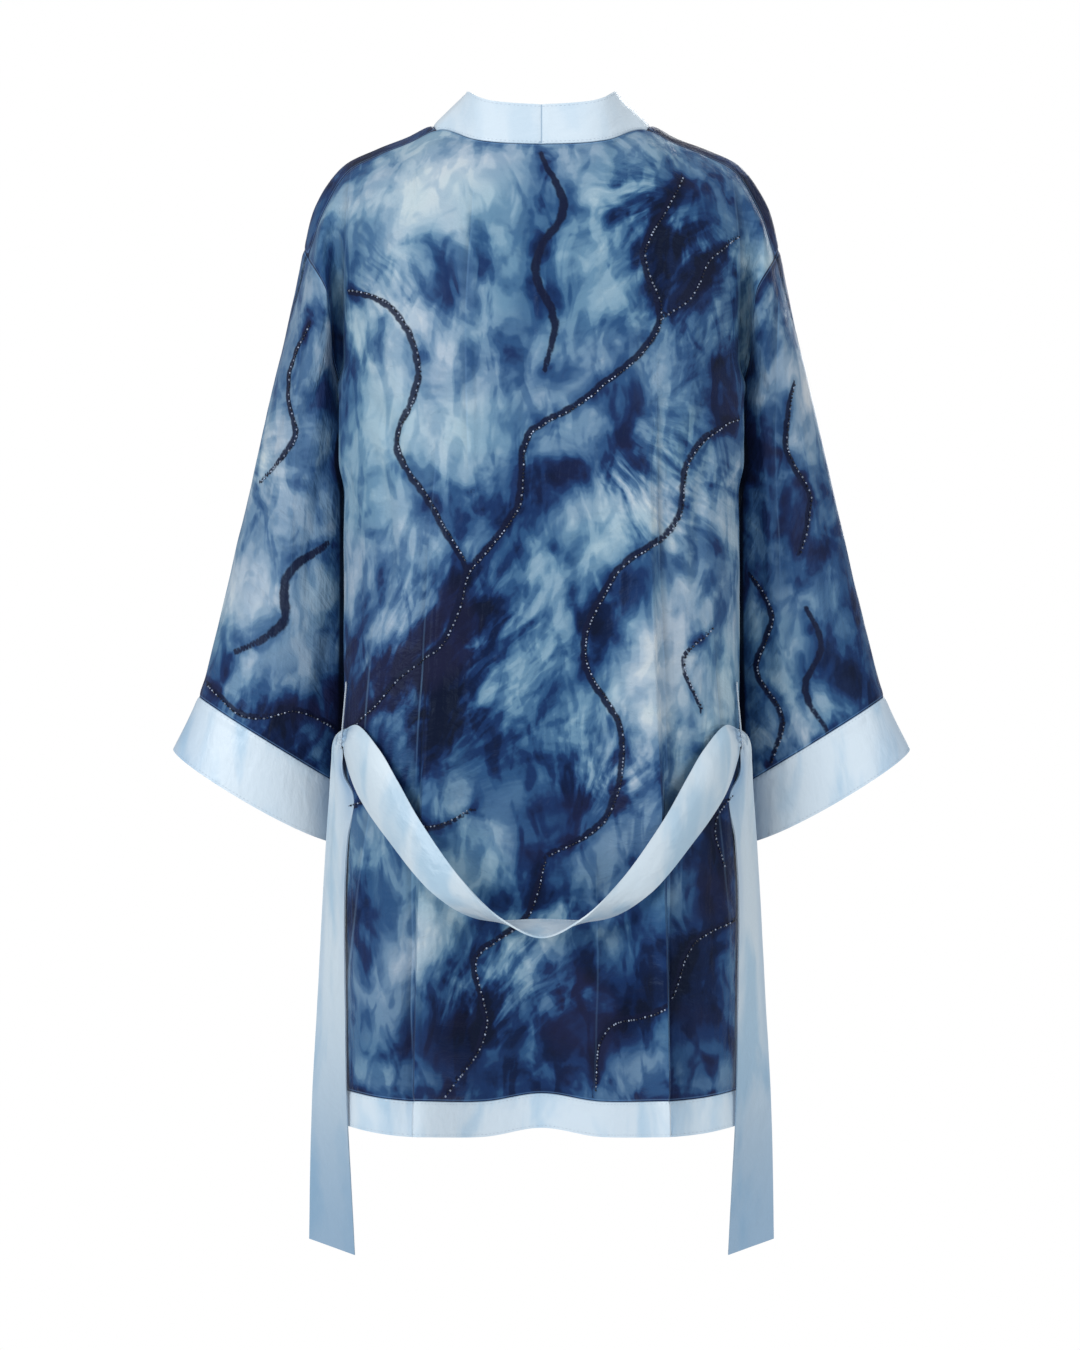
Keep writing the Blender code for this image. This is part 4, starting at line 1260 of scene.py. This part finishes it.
def silk_colour(nodes, place, depth, off, strong):
    """The dye's colour, then painted deep shade, the drawn veins, the seams, and painted highlights and fold-line
    shadows over it.
    """
    seam, tone = nodes.attribute("seam"), nodes.noise(place, *TONE)
    tint = nodes.colours(tone, ((0.38, TEAL), (0.62, VIOLET)))
    colour = nodes.mix(0.5, nodes.colours(depth, DYE_STOPS), tint, "MULTIPLY")
    ripe = nodes.times(nodes.ramp_to(depth, 0.60, 0.80, 0.0, 0.5), nodes.ramp_to(tone, 0.49, 0.62))
    drawn = nodes.plus(nodes.attribute("vein"), nodes.swing(nodes.noise(place, *RAGGED), 0.22, 0.3, 0.7))
    # A painted highlight runs beside each seam
    beside_seam = nodes.math("ABSOLUTE", nodes.math("SUBTRACT", seam, 1.7))
    # The fold lines' painted shadow, to one side, and painted highlight, on the line
    shadow = nodes.times(nodes.ramp_to(off, 0.6, 8.0, 0.5, 0.0), nodes.ramp_to(off, 0.0, 1.2))
    light = nodes.ramp_to(nodes.math("ABSOLUTE", off), 0.2, 1.3, 0.3, 0.0)
    return nodes.layers(
        colour,
        (ripe, RIPE_DYE),
        # Painted deep shade where a sleeve goes behind the body
        (nodes.ramp_to(nodes.attribute("recess"), -0.8, 1.2, 0.9, 0.0), RECESS_PAINTED_SHADE_COLOUR),
        (nodes.ramp_to(drawn, 0.7, 1.3, 0.96, 0.0), LINE_AND_SHADOW_NAVY),
        (nodes.ramp_to(seam, 0.35, 1.1, 0.75, 0.0), LINE_AND_SHADOW_NAVY),
        # Painted highlight beside the seam
        (nodes.ramp_to(beside_seam, 0.2, 0.8, 0.25, 0.0), PAINTED_HIGHLIGHT),
        # Along each fold line a painted shadow on one side and a painted highlight on the line
        (nodes.times(shadow, strong), LINE_AND_SHADOW_NAVY),
        (nodes.times(light, strong), PAINTED_HIGHLIGHT),
    )


def dyed_silk():
    """Silk dyed in folds, with drawn veins, a soft crinkle, steps at its fold lines and its own weave, and painted
    shade and highlights.
    """
    nodes = Nodes("dyed_silk_cloth")
    place = nodes.attribute("cloth", "Vector")
    cloud = nodes.noise(place, *CLOUD)
    off, strong, _ = nodes.parts(nodes.attribute("fold", "Vector"))
    step = nodes.times(nodes.ramp_to(off, -1.4, 1.4, 1.0, 0.0), strong)
    normal = nodes.bumps(
        (nodes.cut_noise((1.0, 1.5, 1.0), *CRINKLE), 0.0026, 1.0),
        (nodes.cut_noise((1.0, 0.16, 1.0), *HANGING), 0.0022, 1.0),
        (step, 0.0022, 1.0),
        (puckers(nodes, place, 150.0, nodes.attribute("seam"), 12.0), 0.0012, 1.0),
        (woven(nodes), 0.00005, 0.5),
    )
    return nodes.finish(
        Base_Color=silk_colour(nodes, place, silk_depth(nodes, place, cloud), off, strong),
        Roughness=nodes.ramp_to(cloud, 0.3, 0.7, 0.40, 0.52), Normal=normal,
        Specular_IOR_Level=0.16, Specular_Tint=SILK_GLOSS,
        Sheen_Weight=0.05, Sheen_Roughness=0.5, Sheen_Tint=SILK_GLOSS,
    )


def satin(name, tint, low=0.0):
    """Pale blue satin: smooth, with faint uneven dye, fine weft lines, soft ripples along its seams and painted
    shade.
    """
    nodes = Nodes(name)
    place, seam = nodes.place(), nodes.attribute("seam")
    uneven = nodes.noise(nodes.scaled(place, (1.0, 1.0, 0.3)), 30.0, 3.0, 0.5, 0.4)
    height = nodes.parts(place)[2]
    blue = nodes.times(nodes.ramp_to(uneven, 0.34, 0.56, 1.0, 0.0), nodes.ramp_to(height, -0.3, 0.0, 1.0, 0.35))
    colour = nodes.layers(
        linear(*tint),
        (blue, linear(*(value - less for value, less in zip(tint, SATIN_BLUER)))),
        # Painted blue shade where the cuffs and belt store it
        (nodes.attribute("shade"), SATIN_SHADE),
        # Painted shade towards the bottom, as strong as low
        (nodes.ramp_to(height, -1.0, -0.72, low, 0.0), SATIN_DEEP),
        # A darker line along each seam; on the belt this draws its pucker lines as painted shade
        (nodes.ramp_to(seam, 0.3, 1.0, 0.6, 0.0), SATIN_DEEP),
    )
    normal = nodes.bumps(
        (nodes.cut_noise((1.6, 1.0, 1.0), 52.0, 3.0, 0.5, 0.3), 0.0012, 1.0),
        (puckers(nodes, place, 110.0, seam, 11.0), 0.0012, 1.0),
        (nodes.cut_noise((1500, 60, 1), 1.0, 2.0), 0.00010, 0.5),
    )
    return nodes.finish(
        Base_Color=colour, Roughness=nodes.ramp_to(uneven, 0.3, 0.7, 0.36, 0.44), Normal=normal,
        Specular_IOR_Level=0.5, Sheen_Weight=0.1, Sheen_Roughness=0.4, Anisotropic=0.4,
    )


def thread(name, tint):
    """Twisted thread, darker and paler at random along it, with the same noise as a fine bump."""
    nodes = Nodes(name)
    grain = nodes.noise(nodes.place(), 900.0, 2.0)
    colour = nodes.colours(grain, ((0.3, linear(*(value - 30 for value in tint))), (0.7, linear(*tint))))
    return nodes.finish(
        Base_Color=colour, Roughness=0.6, Normal=nodes.bumps((grain, 0.0002, 1.0)), Sheen_Weight=0.2
    )


def bead_glass(name, tint, metallic, roughness):
    """Glass beads, each a little darker or paler than the next."""
    nodes = Nodes(name)
    patchy = nodes.noise(nodes.place(), 420.0, 2.0)
    colour = nodes.colours(patchy, ((0.35, linear(*(value * 0.7 for value in tint))), (0.65, linear(*tint))))
    rough = nodes.ramp_to(patchy, 0.3, 0.7, roughness, roughness + 0.12)
    return nodes.finish(Base_Color=colour, Metallic=metallic, Roughness=rough)


# A direction that no strand runs along
ASKEW = (0.31, 0.9, 0.3)


def strand(path, radius, sides, closed):
    """A round strand along a path: its points and faces."""
    along = unit(np.roll(path, -1, axis=0) - np.roll(path, 1, axis=0) if closed else np.gradient(path, axis=0))
    forward = unit(np.cross(along, ASKEW))
    square = np.cross(along, forward)
    turn = 2 * np.pi * np.arange(sides)[None, :, None] / sides
    grid = path[:, None] + radius * (forward[:, None] * np.cos(turn) + square[:, None] * np.sin(turn))
    rows = len(path)
    i, j = np.meshgrid(np.arange(rows if closed else rows - 1), np.arange(sides), indexing="ij")
    k, m = (i + 1) % rows, (j + 1) % sides
    faces = np.stack([i * sides + j, i * sides + m, k * sides + m, k * sides + j], axis=-1).reshape(-1, 4)
    return grid.reshape(-1, 3), faces


LOOP_PLY_RADIUS = 0.42
LOOP_PLY_SIDES = 7
LOOP_PLY_OUT = 0.75
LOOP_TWIST = 3.2
LOOP_POINTS = 220
LOOP_BEND_POINTS = 40


def loop_mesh(name, side):
    """The belt loop: two plies twisted round each other along a long ring."""
    turn = np.linspace(0, np.pi, LOOP_BEND_POINTS)
    wide, high = LOOP_HALF_WIDTH * np.cos(turn), LOOP_HALF_WIDTH * np.sin(turn)
    out = side * np.repeat((LOOP_TOP_OUT, LOOP_OUT), LOOP_BEND_POINTS)
    forward = np.concatenate([LOOP_TOP_FORWARD + wide, LOOP_FORWARD + wide[::-1]])
    height = np.concatenate([LOOP_TOP - LOOP_HALF_WIDTH + high, LOOP_BOTTOM + LOOP_HALF_WIDTH - high])
    ring = np.stack([out, forward, height], axis=1)
    closed = np.concatenate([ring, ring[:1]])
    run = path_run(closed)
    at = np.linspace(0, run[-1], LOOP_POINTS, endpoint=False)
    line = read_along(closed, run, at)
    along = unit(np.roll(line, -1, axis=0) - np.roll(line, 1, axis=0))
    across = np.array((1.0, 0.0, 0.0))
    square = np.cross(along, across)
    turns = round(run[-1] / LOOP_TWIST)
    plies = []
    for ply in (0, 1):
        angle = (2 * np.pi * turns * at / run[-1] + np.pi * ply)[:, None]
        path = line + LOOP_PLY_RADIUS * LOOP_PLY_OUT * (across * np.cos(angle) + square * np.sin(angle))
        plies.append(strand(path, LOOP_PLY_RADIUS, LOOP_PLY_SIDES, True))
    mesh = joined_mesh(name, plies)
    mesh.shade_smooth()
    return mesh


PLEATS = 3
PLEAT_DEPTH = 1.0
PLEAT_REACH = 34.0
LOOP_AT = 296.0
# Below the loop the hanging end's inner edge is drawn in: the way along the belt, and how far
END_DRAWN = ((302, 0.0), (314, 5.0), (342, 3.4), (362, 4.0), (400, 1.5), (440, 0.0))
END_FOLD_DEPTH = 1.6
END_FOLD_AT = 362.0
END_FOLD_REACH = 60.0
END_FOLD_ACROSS = 0.42
END_FOLD_WIDE = 0.22

# Where the belt turns over each loop it puckers along short lines: their places along and across the belt
PUCKERS = (((290, 2), (279, 6), (269, 12), (265, 21)), ((296, 22), (290, 30)), ((304, 8), (318, 16)))
PUCKER_WIDE = 2.6
PUCKER_DEPTH = 1.0

# Painted blue shade on the belt: the middle along and across it, the reach each way, and the strength
BELT_SHADES = ((282, 14, 17, 16, 0.8), (350, 34, 34, 13, 0.75), (420, 37, 80, 5, 0.3), (520, 3, 120, 4, 0.25))

# Painted blue shade on the cuffs at their inner and outer fold: how far out each starts, its reach and its strength
INNER_SHADE = (178, 38, 0.75)
OUTER_SHADE = (285, 40, 0.3)


def belt_pucker(at, columns):
    """How far each point of the belt lies from its nearest pucker, in the pucker's own half widths."""
    across = np.linspace(0, BELT_WIDTH, columns)
    places = np.stack(np.broadcast_arrays(np.abs(at)[:, None], across[None, :]), axis=-1).reshape(-1, 2)
    gaps = [line_distance(places, np.array(line, float))[0] for line in PUCKERS]
    return np.minimum.reduce(gaps).reshape(len(at), columns) / PUCKER_WIDE


def belt_shade(at, columns):
    """How far each point of the belt lies in the painted blue shade at the loops and along its drawn-in edges."""
    across = np.linspace(0, BELT_WIDTH, columns)[None, :]
    away = np.abs(at)[:, None]
    shade = np.zeros((len(at), columns))
    for middle, over, reach, width, strength in BELT_SHADES:
        spot = strength * np.exp(-(((away - middle) / reach) ** 2) - ((across - over) / width) ** 2)
        shade = np.maximum(shade, spot)
    return shade


def cuff_shade(points):
    """How far each point of a cuff lies in the painted blue shade towards its inner fold and, less, its outer one.
    """
    inner, outer = (
        smooth_step((np.abs(points[:, 0]) - start) / reach) for start, reach, _ in (INNER_SHADE, OUTER_SHADE)
    )
    return INNER_SHADE[2] * (1 - inner) + OUTER_SHADE[2] * outer


def belt_cloth():
    """The belt with pleats and puckers at its loops and a fold down each end, its normals and its rows' places."""
    grid, at = belt_surface()
    shares = np.linspace(0, 1, grid.shape[1])[None, :]
    away = np.abs(at)[:, None]
    drawn = spline(*zip(*END_DRAWN), np.abs(at))
    grid[..., 0] -= np.sign(at)[:, None] * drawn * shares
    normals = shared_normals({"belt": grid}, ())["belt"]
    pleat = PLEAT_DEPTH * np.sin(2 * np.pi * PLEATS * shares) * np.exp(-((away - LOOP_AT) / PLEAT_REACH) ** 2)
    fold = END_FOLD_DEPTH * bump(shares - END_FOLD_ACROSS, END_FOLD_WIDE, END_FOLD_WIDE)
    fold = fold * np.exp(-((away - END_FOLD_AT) / END_FOLD_REACH) ** 2)
    ripple = BAND_CRUMPLE * noise(grid.reshape(-1, 3), CRUMPLE_SIZE, SEED + 2, 3).reshape(grid.shape[:2])
    dent = PUCKER_DEPTH * np.exp(-belt_pucker(at, grid.shape[1]) ** 2)
    grid = grid + normals * (pleat - fold + ripple - dent)[..., None]
    return grid, shared_normals({"belt": grid}, ())["belt"], at


STITCH_LENGTH = 2.6
STITCH_GAP = 1.2
STITCH_RADIUS = 0.2
STITCH_SIDES = 4
STITCH_START = 0.5
STITCH_IN = 2.2
STITCH_LIFTS = (-0.25, 0.12, 0.12, -0.25)


def stitch_mesh(name, lines):
    """Rows of small stitches, each a short strand that dips into the cloth at both ends."""
    stitches = []
    for line, ways in lines:
        run = path_run(line)
        for begin in np.arange(STITCH_START, run[-1] - STITCH_LENGTH, STITCH_LENGTH + STITCH_GAP):
            at = begin + STITCH_LENGTH * np.linspace(0, 1, len(STITCH_LIFTS))
            path = read_along(line, run, at) + read_along(ways, run, at) * np.array(STITCH_LIFTS)[:, None]
            stitches.append(strand(path, STITCH_RADIUS, STITCH_SIDES, False))
    mesh = joined_mesh(name, stitches)
    mesh.shade_smooth()
    return mesh


def inset_line(grid, normals, edge):
    """The line of stitches on the outside of a band, in from one of its edges."""
    if edge.endswith("column"):
        grid, normals = grid.transpose(1, 0, 2), normals.transpose(1, 0, 2)
    if edge.startswith("last"):
        grid, normals = grid[::-1], normals[::-1]
    width = np.linalg.norm(grid[1] - grid[0], axis=1, keepdims=True)
    line = grid[0] + (grid[1] - grid[0]) * np.clip(STITCH_IN / width, 0, 1)
    return line + normals[0] * BAND_THICK / 2, normals[0]


def band_stitches(grids, normals):
    """The sewing that shows: a row beside each band's seam and along each free edge of the bands and the belt."""
    lines = []
    for name, grid in grids.items():
        if name not in SILK_NODES:
            kind = "column" if name.startswith(("collar", "belt")) else "row"
            lines += [inset_line(grid, normals[name], f"{end}_{kind}") for end in ("first", "last")]
    return lines


# The flat cut of a piece in metres, a record that nothing here fills: its width and length, and its area where it
# isn't a rectangle
Cut = namedtuple("Cut", "width length area held rests_on")


def store_silk(mesh, name, grid, normals, laid):
    """Keeps what the silk's material reads at each point: its dye, fold lines, veins, painted deep shade and
    streaks.
    """
    points, ways = grid.reshape(-1, 3), normals.reshape(-1, 3)
    depth = dye_depth(points, ways, SILK_NODES[name].patches)
    if name.startswith("front"):
        depth = depth + shoulder_depth(grid).ravel()
    store(mesh, "dye", depth)
    store(mesh, "cloth", points * MM + SILK_NODES[name].noise)
    store(mesh, "fold", fold_lines(points, ways))
    store(mesh, "vein", vein_nearness(points, laid))
    # Where a sleeve goes behind the body it gets painted deep shade
    store(mesh, "recess", recess_gap(points) if name.startswith("sleeve") else np.full(len(points), NO_SEAM))
    for number, fans in enumerate(FANS):
        store(mesh, f"streak_{number}", streak_place(points, ways, fans)[0])


def make_robe():
    silk = dyed_silk()
    band_satin = satin("band_satin", (202, 218, 231))
    # The belt satin's 0.75 paints shade on the belt's lower ends
    belt_satin = satin("belt_satin", (192, 208, 220), 0.75)
    grids, rings = robe_surfaces()
    normals = shared_normals(grids, rings)
    grids = press_creases(grids, normals)
    normals = shared_normals(grids, rings)
    laid = trace_veins(outer_tree(grids, rings))
    for name, grid in grids.items():
        in_silk = name in SILK_NODES
        thick = SILK_THICK if in_silk else BAND_THICK
        mesh = shell_mesh(f"{name}_cloth", grid, normals[name], thick, name in rings)
        store(mesh, "seam", seam_distance(grid, sewn_edges(name)).ravel())
        if in_silk:
            store_silk(mesh, name, grid, normals[name], laid)
            piece = add_piece(f"{name}_cloth", mesh, silk, node=name, slot="dyed_silk")
        else:
            if name.startswith("cuff"):
                # Painted blue shade towards the cuffs' folds
                store(mesh, "shade", cuff_shade(grid.reshape(-1, 3)))
            piece = add_piece(f"{name}_cloth", mesh, band_satin, node=name, slot="light_satin")
    grids["belt"], normals["belt"], at = belt_cloth()
    columns = grids["belt"].shape[1]
    mesh = shell_mesh("belt_cloth", grids["belt"], normals["belt"], BAND_THICK, False)
    # The belt keeps its pucker lines in its seam attribute, so the satin draws them as painted shade
    store(mesh, "seam", belt_pucker(at, columns).ravel())
    # Painted blue shade at the loops and along the drawn-in edges
    store(mesh, "shade", belt_shade(at, columns).ravel())
    belt = add_piece("belt_cloth", mesh, belt_satin, node="belt", slot="light_satin")
    pale = thread("pale_thread", (196, 210, 224))
    for side, word in ((-1, "left"), (1, "right")):
        name = f"belt_loop_{word}"
        add_piece(f"{name}_thread", loop_mesh(f"{name}_thread", side), pale, node=name, slot="loop_thread")
    add_piece("band_stitches", stitch_mesh("band_stitches", band_stitches(grids, normals)), pale)
    dark = bead_glass("dark_bead", (30, 34, 52), 0.3, 0.12)
    silver = bead_glass("silver_bead", (156, 170, 194), 0.6, 0.26)
    add_piece("vein_beads", bead_mesh("vein_beads", laid), dark, silver)


CAMERA_AWAY = 3.3
CAMERA_HEIGHT = -0.4905
CAMERA_ASIDE = -0.00135
VIEW_HEIGHT = 1.215
FLOOR_HEIGHT = -1.42
FLOOR_RADIUS = 1.6

Lamp = namedtuple("Lamp", "name place size power")
LAMPS = (
    Lamp("key", (-1.9, -2.2, 0.3), 1.3, 46),
    Lamp("fill", (2.2, -2.2, 0.0), 1.6, 27),
    Lamp("above", (0.0, -0.5, 1.7), 1.2, 7),
    Lamp("front", (0.6, 2.6, 0.6), 1.6, 40),
)
SOFT_LIGHT = 0.5

LIT_PLACE = (0, 0, -0.45)
FLOOR_SIDES = 96
FLOOR_STOPS = ((0.3, (0.86, 0.86, 0.86, 1)), (0.7, (0.90, 0.90, 0.90, 1)))
WHITE = (1, 1, 1, 1)


def make_stage():
    """A round pale floor below the robe, a white background with softer light, and the lamps."""
    nodes = Nodes("pale_floor")
    paint = nodes.finish(Base_Color=nodes.colours(nodes.noise(nodes.place(), 3.0, 2.0), FLOOR_STOPS), Roughness=0.7)
    turn = 2 * np.pi * np.arange(FLOOR_SIDES) / FLOOR_SIDES
    height = np.full(FLOOR_SIDES, FLOOR_HEIGHT)
    rim = np.stack([FLOOR_RADIUS * np.cos(turn), FLOOR_RADIUS * np.sin(turn), height], axis=1)
    mesh = bpy.data.meshes.new("floor")
    mesh.from_pydata(rim, [], [tuple(range(FLOOR_SIDES))])
    mesh.materials.append(paint)
    link_new("floor", mesh)
    world = bpy.data.worlds.new("studio")
    world.use_nodes = True
    tree = world.node_tree
    seen = tree.nodes["Background"]
    seen.inputs["Color"].default_value = WHITE
    soft = tree.nodes.new("ShaderNodeBackground")
    soft.inputs["Color"].default_value = WHITE
    soft.inputs["Strength"].default_value = SOFT_LIGHT
    share = tree.nodes.new("ShaderNodeMixShader")
    camera_ray = tree.nodes.new("ShaderNodeLightPath").outputs["Is Camera Ray"]
    for output, socket in zip((camera_ray, soft.outputs[0], seen.outputs[0]), share.inputs):
        tree.links.new(output, socket)
    tree.links.new(share.outputs[0], tree.nodes["World Output"].inputs[0])
    bpy.context.scene.world = world
    for lamp in LAMPS:
        light = bpy.data.lights.new(lamp.name, "AREA")
        light.size = lamp.size
        light.energy = lamp.power
        thing = link_new(lamp.name, light)
        thing.location = lamp.place
        thing.rotation_euler = (Vector(LIT_PLACE) - thing.location).to_track_quat("-Z", "Y").to_euler()


def make_camera():
    """At the photograph's angle: level, straight behind the robe. The sensor's width is the frame's long side."""
    camera = link_new("camera", bpy.data.cameras.new("camera"))
    camera.location = (CAMERA_ASIDE, -CAMERA_AWAY, CAMERA_HEIGHT)
    camera.rotation_euler = (math.pi / 2, 0, 0)
    camera.data.lens = camera.data.sensor_width * CAMERA_AWAY / VIEW_HEIGHT
    bpy.context.scene.camera = camera
    bpy.context.scene.view_settings.view_transform = "Standard"


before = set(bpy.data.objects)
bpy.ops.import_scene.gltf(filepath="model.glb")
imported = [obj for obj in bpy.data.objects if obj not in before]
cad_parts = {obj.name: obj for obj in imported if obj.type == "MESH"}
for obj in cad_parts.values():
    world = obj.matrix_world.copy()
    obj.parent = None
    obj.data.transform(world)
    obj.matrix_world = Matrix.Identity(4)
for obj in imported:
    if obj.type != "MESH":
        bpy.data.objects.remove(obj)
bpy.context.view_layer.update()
make_stage()
make_camera()
make_robe()
